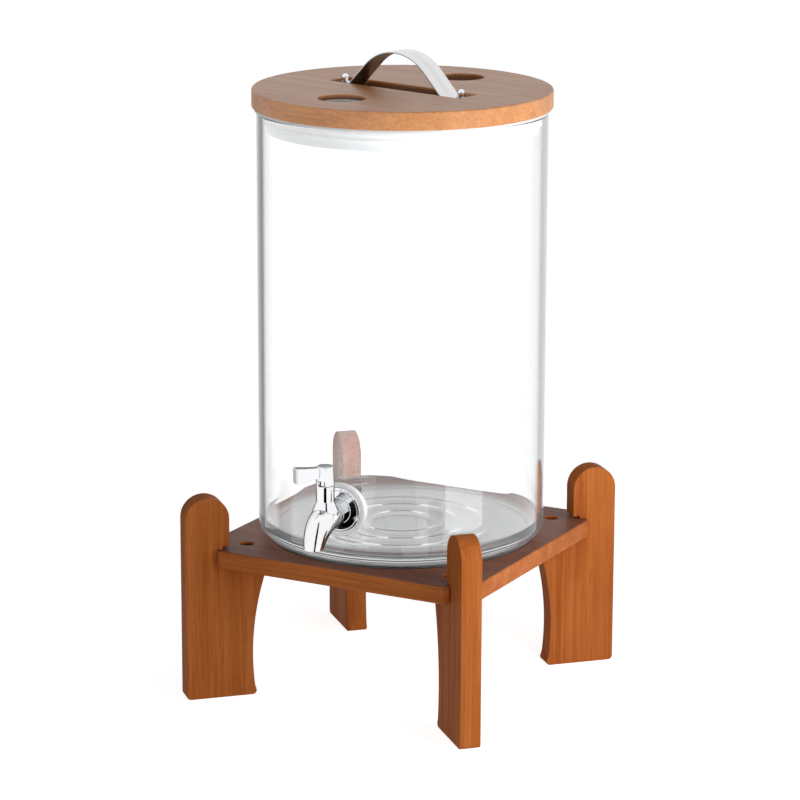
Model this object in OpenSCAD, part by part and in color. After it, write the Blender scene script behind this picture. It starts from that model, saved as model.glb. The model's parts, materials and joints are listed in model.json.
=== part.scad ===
// Glass drink dispenser: a clear jar with a quarter-turn tap and a wooden lid, on a four-legged wooden stand.
// The origin is on the floor under the jar's axis, +Z is up and the front of the stand faces -Y.

/* [Jar] */
// Outside diameter of the glass
jar_d = 190; // [180:1:200]
// Height of the glass from its foot to its rim
jar_h = 284; // [240:1:340]
// Thickness of the glass wall
jar_wall = 3.5; // [3:0.1:4.5]
// Thickness of the glass base
jar_base_t = 7; // [6:0.5:9]
// Outside radius where the wall meets the base
jar_corner_r = 10; // [8:0.5:14]
// Inside radius where the wall meets the base
jar_inner_r = 8; // [5:0.5:12]
// Radius of the first ripple ring in the glass base
ripple_r = 24; // [18:1:34]
// Distance from one ripple ring to the next
ripple_pitch = 17; // [12:1:20]
// Height of the ripple rings
ripple_h = 0.3; // [0.2:0.1:0.6]
// Radius of the ripple rings' section
ripple_curve = 40; // [20:1:60]
// Degrees that the jar stands turned on the board
jar_turn = 4; // [-20:1:20]

/* [Stand] */
// Board left showing on each side of the jar
board_margin = 5; // [2:0.5:15]
// Thickness of the board
board_t = 12; // [10:0.5:16]
// Depth cut off each corner of the board
corner_cut = 12.4; // [10.5:0.1:15]
// Height of the leg shoulders that carry the board
shoulder_h = 91; // [70:1:120]
// Thickness of the legs
leg_t = 14; // [11:0.5:16]
// Width of the upright lobe of each leg
lobe_w = 30; // [26:0.5:36]
// Height of the lobes above the board
lobe_rise = 35; // [28:1:50]
// Length of the board's prongs beside the inner edge of a lobe
prong_l = 9; // [7:0.5:12]
// Depth of the notch in a leg
notch_depth = 4.5; // [3:0.5:6]
// Room above the board in the notch
notch_room = 1.2; // [0.6:0.1:2]
// Width of a leg at its waist
leg_waist = 45.4; // [40:0.2:50]
// Height of the waist above the floor
waist_h = 28; // [20:1:40]
// Radius of the hollowed inner edge of a leg
leg_hollow_r = 181; // [150:1:260]
// Radius of the foot corners of a leg
foot_r = 3; // [1:0.5:6]
// Distance from the inner edge of a lobe in to the leg screw
screw_inset = 13.5; // [11:0.5:18]
// Diameter of the leg screws
leg_screw_d = 4.2; // [3.5:0.1:5]
// Diameter of the leg screw heads
leg_head_d = 8.4; // [7:0.1:9]
// Height of the leg screw heads
leg_head_h = 3; // [2:0.1:3.5]
// Depth of the counterbore over each leg screw head
counterbore_depth = 6; // [4:0.5:7]
// Length of the leg screws below the head
leg_screw_l = 30; // [20:1:36]
// How far the mat stays inside the outside of the glass
mat_inset = 6; // [3:0.5:20]
// Thickness of the mat
mat_t = 1; // [0.5:0.1:2]

/* [Tap] */
// Height of the tap's axis above the foot of the jar
tap_h = 39; // [34:1:60]
// Diameter of the threaded shank
shank_d = 13; // [11:0.5:15]
// Clearance round the shank in the glass
shank_room = 0.5; // [0.3:0.1:1]
// Diameter of the outer gasket
gasket_d = 35; // [32:0.5:38]
// Thickness of the outer gasket where it is thinnest
gasket_t = 3; // [2:0.1:4]
// Diameter of the inner gasket
inner_gasket_d = 26; // [24:0.5:30]
// Thickness of the inner gasket
inner_gasket_t = 2.5; // [2:0.1:4]
// Width of the nut across its flats
nut_flats = 20; // [19:0.5:23]
// Thickness of the nut
nut_t = 7; // [5:0.5:9]
// Length of shank past the nut
shank_spare = 3; // [1:0.5:6]
// Diameter of the flange
flange_d = 30; // [27:0.5:31]
// Thickness of the flange at its rim
flange_t = 2; // [1.5:0.1:3]
// How far the flange's face rises from its rim to the tap's axis
flange_rise = 1.2; // [0.4:0.1:2]
// Diameter of the barrel behind the neck
barrel_d = 16.4; // [15:0.1:17]
// Diameter of the body under the neck
body_d = 18; // [17:0.1:19]
// Diameter of the outlet
outlet_d = 12.2; // [11:0.1:13]
// Diameter of the water way
bore_d = 8; // [6:0.1:8.4]
// Distance from the back of the flange to the start of the spout's bend
bend_start = 20; // [17:0.5:20]
// Radius of the spout's bend
bend_r = 20; // [19.5:0.5:24]
// Drop from the tap's axis to the outlet
outlet_drop = 15.5; // [14:0.1:17]
// Distance from the back of the flange to the neck's axis
neck_reach = 21.7; // [20:0.1:24]
// Diameter of the neck
neck_d = 11.9; // [11.5:0.1:13]
// Height of the neck's rim above the tap's axis
neck_h = 22; // [20:0.1:26]
// Diameter of the boss at the foot of the neck
boss_d = 17; // [14:0.1:17]
// Height of the boss above the tap's axis
boss_h = 5.2; // [4:0.1:6]
// Height above the tap's axis where the boss has drawn in to the neck
boss_top = 11; // [10:0.1:14]
// Height of the stop tab above the neck's rim
tab_h = 3.3; // [2:0.1:4]
// Degrees of the neck's rim that the stop tab takes up
tab_angle = 46; // [30:1:60]
// Degrees that the lever can turn
lever_travel = 90; // [60:1:100]
// Degrees between the lever at rest and straight out
lever_rest = 45; // [0:1:90]

/* [Valve and lever] */
// Diameter of the valve plug
plug_d = 8.8; // [8:0.1:9]
// Diameter of the cross bore in the valve plug
plug_bore_d = 6; // [4.5:0.1:6.2]
// Depth of the valve plug below the tap's axis
plug_depth = 5.6; // [5:0.1:6]
// Side of the square stem
stem_side = 4.6; // [4:0.1:5]
// Thickness of the retaining ring
ring_t = 1; // [0.8:0.1:1.2]
// Depth of the retaining ring below the neck's rim
ring_depth = 2; // [1.5:0.1:3]
// Degrees of the opening in the retaining ring
ring_opening = 50; // [30:1:80]
// Thickness of the O-rings
o_ring_t = 1.24; // [1:0.02:1.4]
// Distance from the top of the valve plug down to the upper O-ring
o_ring_depth = 3; // [2:0.1:4]
// Distance from one O-ring to the next
o_ring_pitch = 4; // [2.5:0.1:5]
// Height of the hub
hub_h = 12.5; // [12:0.1:16]
// Diameter of the hub at its foot
hub_d = 12; // [11.5:0.1:13]
// Diameter of the hub at its top
hub_top_d = 10.8; // [9.5:0.1:11.5]
// Thickness of the hub over the stem
hub_cap_t = 3; // [2:0.1:4]
// Distance from the hub's axis to the end of the lever
lever_l = 20.5; // [17:0.5:26]
// Height of the lever at its end
lever_end_h = 10.4; // [8:0.1:12]
// Width of the lever at its end
lever_end_w = 7.4; // [6:0.1:9]
// Height of the lever at the hub
lever_root_h = 7; // [5:0.1:8]
// Width of the lever at the hub
lever_root_w = 5.6; // [4:0.1:7]
// Distance from the hub's axis to the root of the lever
lever_root_at = 2; // [1:0.1:3]
// Depth of the lever's root below the top of the hub
lever_root_drop = 0.6; // [0.3:0.1:1.5]
// Height of the lever's end above the top of the hub
lever_rise = 0.4; // [0:0.1:2]
// Radius of the lever's edges
lever_edge_r = 1.2; // [0.6:0.1:1.5]

/* [Lid] */
// How far the lid stands out past the glass
lid_overhang = 3; // [1:0.5:8]
// Thickness of the wooden lid
lid_t = 12; // [10:0.5:16]
// Radius of the lid's edges
lid_edge_r = 1.2; // [0.5:0.1:3]
// Degrees that the lid lies turned on the jar
lid_turn = -13; // [-45:1:45]
// Diameter of the two round holes
lid_hole_d = 31; // [26:0.5:34]
// Wood left between each round hole and the rim of the lid
lid_hole_edge = 23.5; // [18:0.5:28]
// Depth of the stopper below the top of the lid
stopper_depth = 3; // [1:0.5:6]
// Radius of the stopper's edges
stopper_edge_r = 1; // [0.5:0.1:1.5]
// Thickness of the plug's top
plug_top_t = 3; // [2:0.5:4]
// Thickness of the plug's rim that lies on the glass
plug_rim_t = 1.6; // [1:0.1:2]
// How far the plug's rim stands out past the glass
plug_rim_over = 1.5; // [0:0.5:2]
// Depth of the plug below the glass rim
plug_reach = 13; // [12:0.5:20]
// Thickness of the plug's wall
plug_wall = 3; // [2:0.5:4]
// Gap between the plug's wall and the glass, which the seal ring fills
seal_space = 3; // [2:0.1:4]
// Height of the seal ring
seal_h = 7; // [5:0.5:8]

/* [Handle] */
// Width of the strap
strap_w = 17; // [14:0.5:18]
// Thickness of the strap
strap_t = 1.2; // [1:0.1:2]
// Half the distance between the strap's two lower bends
strap_half_span = 42.5; // [40:0.5:45]
// Height of the strap's top above the lid
strap_rise = 24; // [20:0.5:26]
// Slope of the strap's sides in degrees
strap_slope = 45; // [43:1:48]
// Radius of the lower bends
strap_bend_r = 3; // [2:0.5:5]
// Length of each foot of the strap past its bend
strap_foot = 12; // [11:0.5:14]
// Depth of the groove that the feet lie in
groove_depth = 5; // [4:0.5:6]
// Room between the strap and the sides of the groove
groove_room = 1.5; // [1:0.1:3]
// Room between the strap's feet and the ends of the groove
groove_end_room = 1; // [0.5:0.5:3]
// Distance from a lower bend to the handle screw
handle_screw_at = 7; // [6.5:0.5:8]
// Diameter of the handle screws
handle_screw_d = 3; // [2.5:0.1:3.2]
// Diameter of the handle screw heads
handle_head_d = 6; // [5:0.1:7]
// Height of the handle screw heads
handle_head_h = 2.2; // [2:0.1:3]
// Thickness of the washers
washer_t = 0.8; // [0.5:0.1:1.2]
// Diameter of the washers
washer_d = 7.5; // [7:0.1:8.5]
// Width of the dome nuts across their flats
dome_flats = 5.5; // [5.4:0.1:6.2]
// Height of the hexagon of the dome nuts
dome_hex_h = 2.4; // [2:0.1:3]
// Height of the dome nuts
dome_h = 7.2; // [6.6:0.1:8]
// How far the dome stays inside the flats of its hexagon
dome_inset = 0.4; // [0.2:0.1:0.5]
// Length of screw that each dome nut takes
dome_thread_l = 4; // [3:0.1:4.2]

/* [Clearances] */
// Gap between pieces that only lie side by side
side_gap = 0.2; // [0.1:0.05:0.3]
// Gap between the curved faces of pieces that come apart
lift_gap = 0.3; // [0.25:0.05:0.4]
// Radial clearance of the turning valve plug
turn_gap = 0.05; // [0.02:0.01:0.08]
// Radial clearance of a screw in its clearance hole
screw_gap = 0.3; // [0.2:0.05:0.5]
// Radial room round a sunk screw head
head_room = 0.5; // [0.4:0.1:0.8]
// Gap round the square stem in the hub
stem_gap = 0.05; // [0.03:0.01:0.1]
// Room between the corners of the turning stem and the retaining ring
stem_room = 0.3; // [0.2:0.05:0.4]
// Room past the end of a screw in its blind hole
end_room = 0.5; // [0.3:0.1:0.8]
// Radial clearance of a thread in its hole
thread_gap = 0.03; // [0.02:0.01:0.05]
// Degrees left between the stop tab and the hub at each end of the travel
stop_gap = 1; // [0.5:0.5:2]

/* [Hidden] */
$fn = 96;
hull_fn = 32;
glass_fn = 720;
past = 1;
arc_steps = 16;
bend_steps = 6;
spout_sides = 40;
spout_steps = 16;
barrel_steps = 4;
spout_over = 4;

wood = "#a5602f";
lid_wood = "#b0713a";
clear_glass = [0.85, 0.93, 0.94, 0.35];
chrome = "#d9dcdf";
steel = "#c3c5c7";
brass = "#c2a25a";
white = "#f2f2ef";
black = "#222222";
mat_grey = "#b4b7b9";

jar_r = jar_d / 2;
inner_r = jar_r - jar_wall;
board_side = jar_d + 2 * board_margin;
corner_reach = board_side / sqrt(2) - corner_cut;
lobe_in = corner_reach - prong_l;
leg_out = lobe_in + lobe_w;
lobe_r = lobe_w / 2;
notch_root = lobe_in + notch_depth;
screw_at = lobe_in - screw_inset;
board_top = shoulder_h + board_t;
lobe_top = board_top + lobe_rise;
counterbore_d = leg_head_d + 2 * head_room;
hollow_at = leg_out - leg_waist - leg_hollow_r;
LEG_ANGLES = [225, 315, 135, 45];

jar_z = board_top + mat_t;
rim_z = jar_z + jar_h;
tap_z = jar_z + tap_h;
flange_at = jar_r + gasket_t;
neck_at = flange_at + neck_reach;
bend_at = flange_at + bend_start;
shank_end = inner_r - inner_gasket_t - nut_t - shank_spare;
body_z = -neck_drop(neck_at - bend_at);
plug_r = plug_d / 2;
plug_hole_r = plug_r + turn_gap;
ring_z = neck_h - ring_depth - ring_t;
plug_top = ring_z - side_gap;
o_ring_zs = [for (i = [0:1]) plug_top - o_ring_depth - i * o_ring_pitch];
hub_z = neck_h + side_gap;
hub_top = hub_z + hub_h;
stem_top = hub_top - hub_cap_t;

lid_z = rim_z + lift_gap + plug_rim_t;
lid_top = lid_z + lid_t;
lid_r = jar_r + lid_overhang;
lid_hole_at = lid_r - lid_hole_edge - lid_hole_d / 2;
plug_wall_r = inner_r - seal_space;
plug_foot = rim_z - plug_reach;
groove_floor = lid_top - groove_depth;
groove_l = 2 * (strap_half_span + strap_foot + groove_end_room);
groove_w = strap_w + 2 * groove_room;
handle_screw_x = strap_half_span + handle_screw_at;
washer_z = groove_floor + strap_t;
nut_z = washer_z + washer_t;

// Helpers

// Drop of the spout's centre line a given distance past the start of the bend
function neck_drop(run) = bend_r - sqrt(bend_r * bend_r - run * run);

// Ease from 0 to 1
function ease(t) = t * t * (3 - 2 * t);

// Cylinder along -Y, from one distance from the jar's axis to another
module out_cylinder(from, to, d1, d2 = undef)
  translate([0, -from, 0]) rotate([90, 0, 0])
    cylinder(h = to - from, d1 = d1, d2 = is_undef(d2) ? d1 : d2);

// Ring of rectangular section
module flat_ring(d_in, d_out, h)
  difference() {
    cylinder(h = h, d = d_out);
    translate([0, 0, -past]) cylinder(h = h + 2 * past, d = d_in);
  }

// Solid through a list of rings that have the same number of points
module loft(rings) {
  n = len(rings[0]);
  last = (len(rings) - 1) * n;
  polyhedron(
    points = [for (ring = rings) each ring],
    faces = concat(
      [[for (i = [0:n - 1]) i]],
      [[for (i = [n - 1:-1:0]) last + i]],
      [for (j = [0:len(rings) - 2], i = [0:n - 1])
        let (k = (i + 1) % n, a = j * n, b = a + n)
        each [[a + i, b + k, a + k], [a + i, b + i, b + k]]]
    )
  );
}

module at_tap() rotate([0, 0, jar_turn]) translate([0, 0, tap_z]) children();

module at_neck() at_tap() translate([0, -neck_at, 0]) children();

module at_lever() at_neck() rotate([0, 0, -lever_rest]) children();

module at_lid() rotate([0, 0, lid_turn]) children();

module at_leg(i) rotate([0, 0, LEG_ANGLES[i]]) children();

module at_handle_screws()
  at_lid() for (side = [-1, 1]) translate([side * handle_screw_x, 0, 0]) children();

// Stand

module stand_board() {
  half = board_side / 2;
  color(wood) difference() {
    translate([-half, -half, shoulder_h]) cube([board_side, board_side, board_t]);
    for (i = [0:3]) at_leg(i) {
      translate([corner_reach, -half, shoulder_h - past])
        cube([half, board_side, board_t + 2 * past]);
      translate([notch_root - side_gap, -leg_t / 2 - side_gap, shoulder_h - past])
        cube([half, leg_t + 2 * side_gap, board_t + 2 * past]);
      translate([screw_at, 0, shoulder_h - past])
        cylinder(h = board_t + 2 * past, d = leg_screw_d + 2 * screw_gap);
      translate([screw_at, 0, board_top - counterbore_depth])
        cylinder(h = counterbore_depth + past, d = counterbore_d);
    }
  }
}

// Rounds the corner of a leg's outline at a point, towards the given quarter
module outline_corner(at, quarter)
  translate(at) mirror([quarter[0] < 0 ? 1 : 0, 0]) mirror([0, quarter[1] < 0 ? 1 : 0])
    difference() {
      translate([-past, -past]) square(foot_r + past);
      translate([foot_r, foot_r]) circle(foot_r);
    }

// Side outline of a leg: distance from the jar's axis along X, height along Y
module leg_outline() {
  foot_in = hollow_at + sqrt(leg_hollow_r * leg_hollow_r - waist_h * waist_h);
  difference() {
    union() {
      translate([lobe_in - lobe_w, 0]) square([leg_out - lobe_in + lobe_w, shoulder_h]);
      translate([lobe_in, 0]) square([lobe_w, lobe_top - lobe_r]);
      translate([lobe_in + lobe_r, lobe_top - lobe_r]) circle(lobe_r);
    }
    translate([hollow_at, waist_h]) circle(leg_hollow_r);
    translate([lobe_in - past, shoulder_h]) square([notch_depth + past, board_t + notch_room]);
    outline_corner([leg_out, 0], [-1, 1]);
    outline_corner([foot_in, 0], [1, 1]);
  }
}

module leg(i)
  color(wood) at_leg(i) difference() {
    rotate([90, 0, 0]) linear_extrude(leg_t, center = true) leg_outline();
    translate([screw_at, 0, board_top - counterbore_depth - leg_screw_l])
      cylinder(h = leg_screw_l, d = leg_screw_d + 2 * thread_gap);
  }

module leg_front_left() leg(0);
module leg_front_right() leg(1);
module leg_back_left() leg(2);
module leg_back_right() leg(3);

module leg_screws() {
  socket_d = leg_head_d / 2;
  head_z = board_top - counterbore_depth;
  point_l = leg_screw_d;
  shank_l = leg_screw_l - point_l;
  color(steel) for (i = [0:3]) at_leg(i) translate([screw_at, 0, head_z]) difference() {
    union() {
      cylinder(h = leg_head_h, d = leg_head_d);
      translate([0, 0, -shank_l]) cylinder(h = shank_l + past, d = leg_screw_d);
      translate([0, 0, -leg_screw_l]) cylinder(h = point_l, d1 = leg_screw_d / 4, d2 = leg_screw_d);
    }
    translate([0, 0, leg_head_h / 2]) cylinder(h = leg_head_h, d = socket_d, $fn = 6);
  }
}

module base_mat() color(mat_grey) translate([0, 0, board_top]) cylinder(h = mat_t, d = jar_d - 2 * mat_inset);

// Jar

// Section of a cup with a rounded corner, from the axis out
module cup_section(r, foot, top, corner) {
  translate([0, foot]) square([r - corner, top - foot]);
  translate([0, foot + corner]) square([r, top - foot - corner]);
  translate([r - corner, foot + corner]) circle(corner);
}

module glass_jar() {
  lip = jar_wall / 2;
  color(clear_glass) difference() {
    translate([0, 0, jar_z]) rotate_extrude() {
      difference() {
        union() {
          cup_section(jar_r, 0, jar_h - lip, jar_corner_r);
          translate([jar_r - lip, jar_h - lip]) circle(lip);
        }
        cup_section(inner_r, jar_base_t, jar_h + past, jar_inner_r);
      }
      for (i = [0:2])
        intersection() {
          translate([ripple_r + i * ripple_pitch, jar_base_t + ripple_h - ripple_curve]) circle(ripple_curve);
          translate([ripple_r + (i - 0.5) * ripple_pitch, jar_base_t / 2]) square([ripple_pitch, jar_base_t]);
        }
    }
    at_tap() out_cylinder(inner_r - gasket_d, jar_r + past, shank_d + 2 * shank_room);
  }
}

// Tap

// Degrees of bend down to a given drop of the spout's centre line
function bend_angle(drop) = acos(1 - drop / bend_r);

// Degrees of bend under the neck's axis
function neck_angle() = asin((neck_at - bend_at) / bend_r);

// Degrees of bend of the whole spout, which ends below the plane of the outlet
function spout_sweep() = bend_angle(outlet_drop + outlet_d / 4) + spout_over;

// Stations along the barrel, from inside the flange, then along the bend: distance out, height and angle
function spout_stations() =
  let (start = flange_at + flange_t / 2)
  concat(
    [for (i = [0:barrel_steps - 1]) [start + (bend_at - start) * i / barrel_steps, 0, 0]],
    [for (i = [0:spout_steps]) let (a = spout_sweep() * i / spout_steps)
      [bend_at + bend_r * sin(a), bend_r * (cos(a) - 1), a]]
  );

// Diameter of the spout at a station: swells under the neck and draws in to the outlet
function spout_d(out, angle) =
  out < neck_at
    ? barrel_d + (body_d - barrel_d) * ease((out - flange_at) / neck_reach)
    : let (t = (angle - neck_angle()) / (bend_angle(outlet_drop) - neck_angle()))
      body_d + (outlet_d - body_d) * pow(min(1, t), 2);

// Ring of points across the spout at a station
function spout_ring(s, d) = [for (i = [0:spout_sides - 1])
  let (t = 360 * i / spout_sides, up = d / 2 * sin(t))
  [d / 2 * cos(t), -s[0] - up * sin(s[2]), s[1] + up * cos(s[2])]];

// Barrel and drooping spout, cut level at the outlet
module spout()
  difference() {
    loft([for (s = spout_stations()) spout_ring(s, spout_d(s[0], s[2]))]);
    translate([-body_d, -neck_at - 2 * bend_r, -outlet_drop - 2 * bend_r])
      cube([2 * body_d, 2 * bend_r, 2 * bend_r]);
  }

// Water way from the valve plug to the outlet
module spout_bore()
  translate([0, -bend_at, -bend_r]) rotate([0, -90, 0]) rotate([180, 0, neck_angle()])
    rotate_extrude(angle = spout_sweep() - neck_angle()) translate([bend_r, 0]) circle(d = bore_d);

// Shank and flange, turned about the tap's axis
module shank_and_flange()
  rotate([90, 0, 0]) rotate_extrude() polygon([
    [0, shank_end],
    [shank_d / 2, shank_end],
    [shank_d / 2, flange_at],
    [flange_d / 2, flange_at],
    [flange_d / 2, flange_at + flange_t],
    [0, flange_at + flange_t + flange_rise]
  ]);

// Neck on a boss, with a raised tab on its rim that stops the lever at both ends of its travel
module neck() {
  tab_from = 270 - lever_travel / 2 + tab_angle / 2;
  difference() {
    cylinder(h = neck_h + tab_h, d = neck_d);
    translate([0, 0, neck_h]) rotate([0, 0, tab_from])
      rotate_extrude(angle = 360 - tab_angle) square([neck_d, tab_h + past]);
  }
  cylinder(h = boss_h, d = boss_d);
  translate([0, 0, boss_h]) cylinder(h = boss_top - boss_h, d1 = boss_d, d2 = neck_d);
}

// Water ways, hole for the valve plug and groove for its retaining ring
module tap_hollow()
  union() {
    out_cylinder(shank_end - past, neck_at, bore_d);
    spout_bore();
    translate([0, -neck_at, 0]) {
      translate([0, 0, -plug_depth - side_gap])
        cylinder(h = plug_depth + neck_h + tab_h + past, r = plug_hole_r);
      translate([0, 0, ring_z]) cylinder(h = ring_t, r = plug_hole_r + ring_t / 2);
    }
  }

module tap_body()
  color(chrome) at_tap() difference() {
    union() {
      shank_and_flange();
      spout();
      translate([0, -neck_at, 0]) neck();
    }
    tap_hollow();
  }

// Gasket that fills the space between a flat face and the curved glass outside
module tap_outer_gasket()
  color(white) at_tap() difference() {
    out_cylinder(jar_r - gasket_d / 4, flange_at, gasket_d);
    out_cylinder(0, flange_at + past, shank_d + 2 * side_gap);
    translate([0, 0, -jar_h]) cylinder(h = 2 * jar_h, r = jar_r, $fn = glass_fn);
  }

module tap_inner_gasket()
  color(white) at_tap() intersection() {
    difference() {
      out_cylinder(inner_r - inner_gasket_t, inner_r, inner_gasket_d);
      out_cylinder(0, jar_r, shank_d + 2 * side_gap);
    }
    translate([0, 0, -jar_h]) cylinder(h = 2 * jar_h, r = inner_r, $fn = glass_fn);
  }

module tap_nut()
  color(chrome) at_tap() difference() {
    translate([0, -inner_r + inner_gasket_t + nut_t, 0]) rotate([90, 0, 0])
      cylinder(h = nut_t, d = nut_flats / cos(30), $fn = 6);
    out_cylinder(0, jar_r, shank_d + 2 * thread_gap);
  }

module tap_retaining_ring() {
  ring_in = stem_side / sqrt(2) + stem_room;
  ring_out = plug_hole_r + ring_t / 2 - side_gap / 2;
  color(steel) at_neck() translate([0, 0, ring_z + side_gap / 4]) rotate([0, 0, ring_opening / 2])
    rotate_extrude(angle = 360 - ring_opening) translate([ring_in, 0])
      square([ring_out - ring_in, ring_t - side_gap / 2]);
}

module tap_valve_plug() {
  groove_w = o_ring_t + side_gap;
  groove_r = plug_r - o_ring_t - turn_gap / 2;
  color(brass) at_lever() difference() {
    union() {
      translate([0, 0, -plug_depth]) cylinder(h = plug_depth + plug_top, r = plug_r);
      translate([-stem_side / 2, -stem_side / 2, plug_top - past])
        cube([stem_side, stem_side, stem_top - plug_top + past]);
    }
    for (z = o_ring_zs) translate([0, 0, z - groove_w / 2])
      flat_ring(2 * groove_r, plug_d + past, groove_w);
    translate([0, 0, body_z]) rotate([90, 0, 0])
      cylinder(h = 2 * plug_d, d = plug_bore_d, center = true);
  }
}

module tap_o_rings()
  color(black) at_lever() for (z = o_ring_zs) translate([0, 0, z])
    rotate_extrude() translate([plug_r - o_ring_t / 2, 0]) circle(d = o_ring_t);

// Rounded corners of the end or root of the lever, across the lever's length
module lever_plate(at, w, h, top) {
  r = lever_edge_r;
  for (x = [-1, 1], z = [top - h + r, top - r])
    translate([x * (w / 2 - r), -at, z]) sphere(r, $fn = hull_fn);
}

module tap_lever() {
  cut_angle = tab_angle + lever_travel + 2 * stop_gap;
  socket = stem_side + 2 * stem_gap;
  color(chrome) at_lever() difference() {
    union() {
      translate([0, 0, hub_z]) cylinder(h = hub_h, d1 = hub_d, d2 = hub_top_d);
      hull() {
        lever_plate(lever_root_at, lever_root_w, lever_root_h, hub_top - lever_root_drop);
        lever_plate(lever_l - lever_edge_r, lever_end_w, lever_end_h, hub_top + lever_rise);
      }
    }
    rotate([0, 0, 270 - cut_angle / 2]) translate([0, 0, hub_z - past])
      rotate_extrude(angle = cut_angle) translate([plug_r - side_gap, 0])
        square([hub_d, tab_h + side_gap + past]);
    translate([-socket / 2, -socket / 2, hub_z - past])
      cube([socket, socket, stem_top + side_gap - hub_z + past]);
  }
}

// Lid

// Section of a disc with rounded rims, from the axis out
module disc_section(r, h, edge) {
  square([r - edge, h]);
  translate([0, edge]) square([r, h - 2 * edge]);
  for (z = [edge, h - edge]) translate([r - edge, z]) circle(edge);
}

module lid_board()
  color(lid_wood) at_lid() difference() {
    translate([0, 0, lid_z]) rotate_extrude() disc_section(lid_r, lid_t, lid_edge_r);
    for (side = [-1, 1]) translate([0, side * lid_hole_at, lid_z - past])
      cylinder(h = lid_t + 2 * past, d = lid_hole_d);
    translate([-groove_l / 2, -groove_w / 2, groove_floor])
      cube([groove_l, groove_w, groove_depth + past]);
    for (side = [-1, 1]) translate([side * handle_screw_x, 0, lid_z - past])
      cylinder(h = lid_t, d = handle_screw_d + 2 * screw_gap);
  }

module lid_plug()
  color(white) difference() {
    rotate_extrude() {
      translate([0, lid_z - plug_top_t]) square([plug_wall_r, plug_top_t]);
      translate([0, lid_z - plug_rim_t]) square([jar_r + plug_rim_over, plug_rim_t]);
      translate([plug_wall_r - plug_wall, plug_foot]) square([plug_wall, lid_z - plug_foot]);
    }
    at_handle_screws() translate([0, 0, plug_foot])
      cylinder(h = lid_t + plug_reach, d = handle_screw_d + 2 * screw_gap);
  }

module lid_seal_ring() {
  lip = inner_r - lift_gap - plug_wall_r;
  lip_foot = seal_h / 4;
  lip_top = 1.5 * lip_foot;
  band = seal_space / 3;
  seal_z = lid_z - plug_top_t - seal_h;
  color(white) translate([0, 0, seal_z]) rotate_extrude() translate([plug_wall_r, 0]) {
    square([band, seal_h]);
    for (z = [0, seal_h / 2]) translate([0, z])
      polygon([[0, 0], [band, 0], [lip, lip_foot], [lip, lip_top], [0, lip_top]]);
  }
}

module lid_stopper()
  color(white) at_lid() translate([0, -lid_hole_at, lid_z])
    rotate_extrude() disc_section(lid_hole_d / 2 - side_gap, lid_t - stopper_depth, stopper_edge_r);

// Handle

// Half of the strap's centre line, from its foot up to its top: across, height and slope
function strap_path() =
  let (
    a = strap_slope,
    rise = strap_rise + groove_depth - strap_t,
    top_r = (strap_half_span * sin(a) - rise * cos(a)) / (1 - cos(a)),
    bend_x = strap_half_span + strap_bend_r * tan(a / 2)
  )
  concat(
    [[strap_half_span + strap_foot, 0, 0]],
    [for (i = [0:bend_steps]) let (t = a * i / bend_steps)
      [bend_x - strap_bend_r * sin(t), strap_bend_r * (1 - cos(t)), t]],
    [for (i = [0:arc_steps]) let (t = a * (1 - i / arc_steps))
      [top_r * sin(t), rise - top_r * (1 - cos(t)), t]]
  );

// Side outline of the strap: the centre line thickened to both sides
module strap_outline() {
  half = strap_path();
  mirrored = [for (i = [len(half) - 2:-1:0]) [-half[i][0], half[i][1], -half[i][2]]];
  path = concat(half, mirrored);
  function side(p, t) = [p[0] + t * sin(p[2]), p[1] + t * cos(p[2])];
  polygon(concat(
    [for (p = path) side(p, strap_t / 2)],
    [for (i = [len(path) - 1:-1:0]) side(path[i], -strap_t / 2)]
  ));
}

module handle_strap()
  color(steel) at_lid() translate([0, 0, groove_floor + strap_t / 2]) difference() {
    rotate([90, 0, 0]) linear_extrude(strap_w, center = true) strap_outline();
    for (side = [-1, 1]) translate([side * handle_screw_x, 0, -strap_t])
      cylinder(h = 2 * strap_t, d = handle_screw_d + 2 * screw_gap);
  }

module handle_screws() {
  head_z = lid_z - plug_top_t - handle_head_h;
  thread_end = nut_z + dome_thread_l;
  slot_w = handle_head_d / 8;
  slot_depth = handle_head_h / 2;
  color(steel) at_handle_screws() translate([0, 0, head_z]) difference() {
    union() {
      cylinder(h = handle_head_h, d = handle_head_d);
      cylinder(h = thread_end - head_z, d = handle_screw_d);
    }
    translate([-handle_head_d, -slot_w / 2, -past])
      cube([2 * handle_head_d, slot_w, slot_depth + past]);
  }
}

module handle_washers()
  color(steel) at_handle_screws() translate([0, 0, washer_z])
    flat_ring(handle_screw_d + 2 * side_gap, washer_d, washer_t);

module handle_dome_nuts() {
  dome_r = dome_flats / 2 - dome_inset;
  color(chrome) at_handle_screws() translate([0, 0, nut_z]) difference() {
    union() {
      cylinder(h = dome_hex_h, d = dome_flats / cos(30), $fn = 6);
      cylinder(h = dome_h - dome_r, r = dome_r);
      translate([0, 0, dome_h - dome_r]) sphere(dome_r);
    }
    translate([0, 0, -past])
      cylinder(h = dome_thread_l + end_room + past, d = handle_screw_d + 2 * thread_gap);
  }
}

stand_board();
leg_front_left();
leg_front_right();
leg_back_left();
leg_back_right();
leg_screws();
base_mat();
glass_jar();
tap_body();
tap_outer_gasket();
tap_inner_gasket();
tap_nut();
tap_retaining_ring();
tap_valve_plug();
tap_o_rings();
tap_lever();
lid_board();
lid_plug();
lid_seal_ring();
lid_stopper();
handle_strap();
handle_screws();
handle_washers();
handle_dome_nuts();
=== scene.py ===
"""Glass drink dispenser: the looks of its stand, jar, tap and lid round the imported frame, and a stage."""

import json
import math

import bmesh
import bpy
from bpy.props import FloatProperty, FloatVectorProperty, PointerProperty
from mathutils import Color, Matrix, Vector


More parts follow.
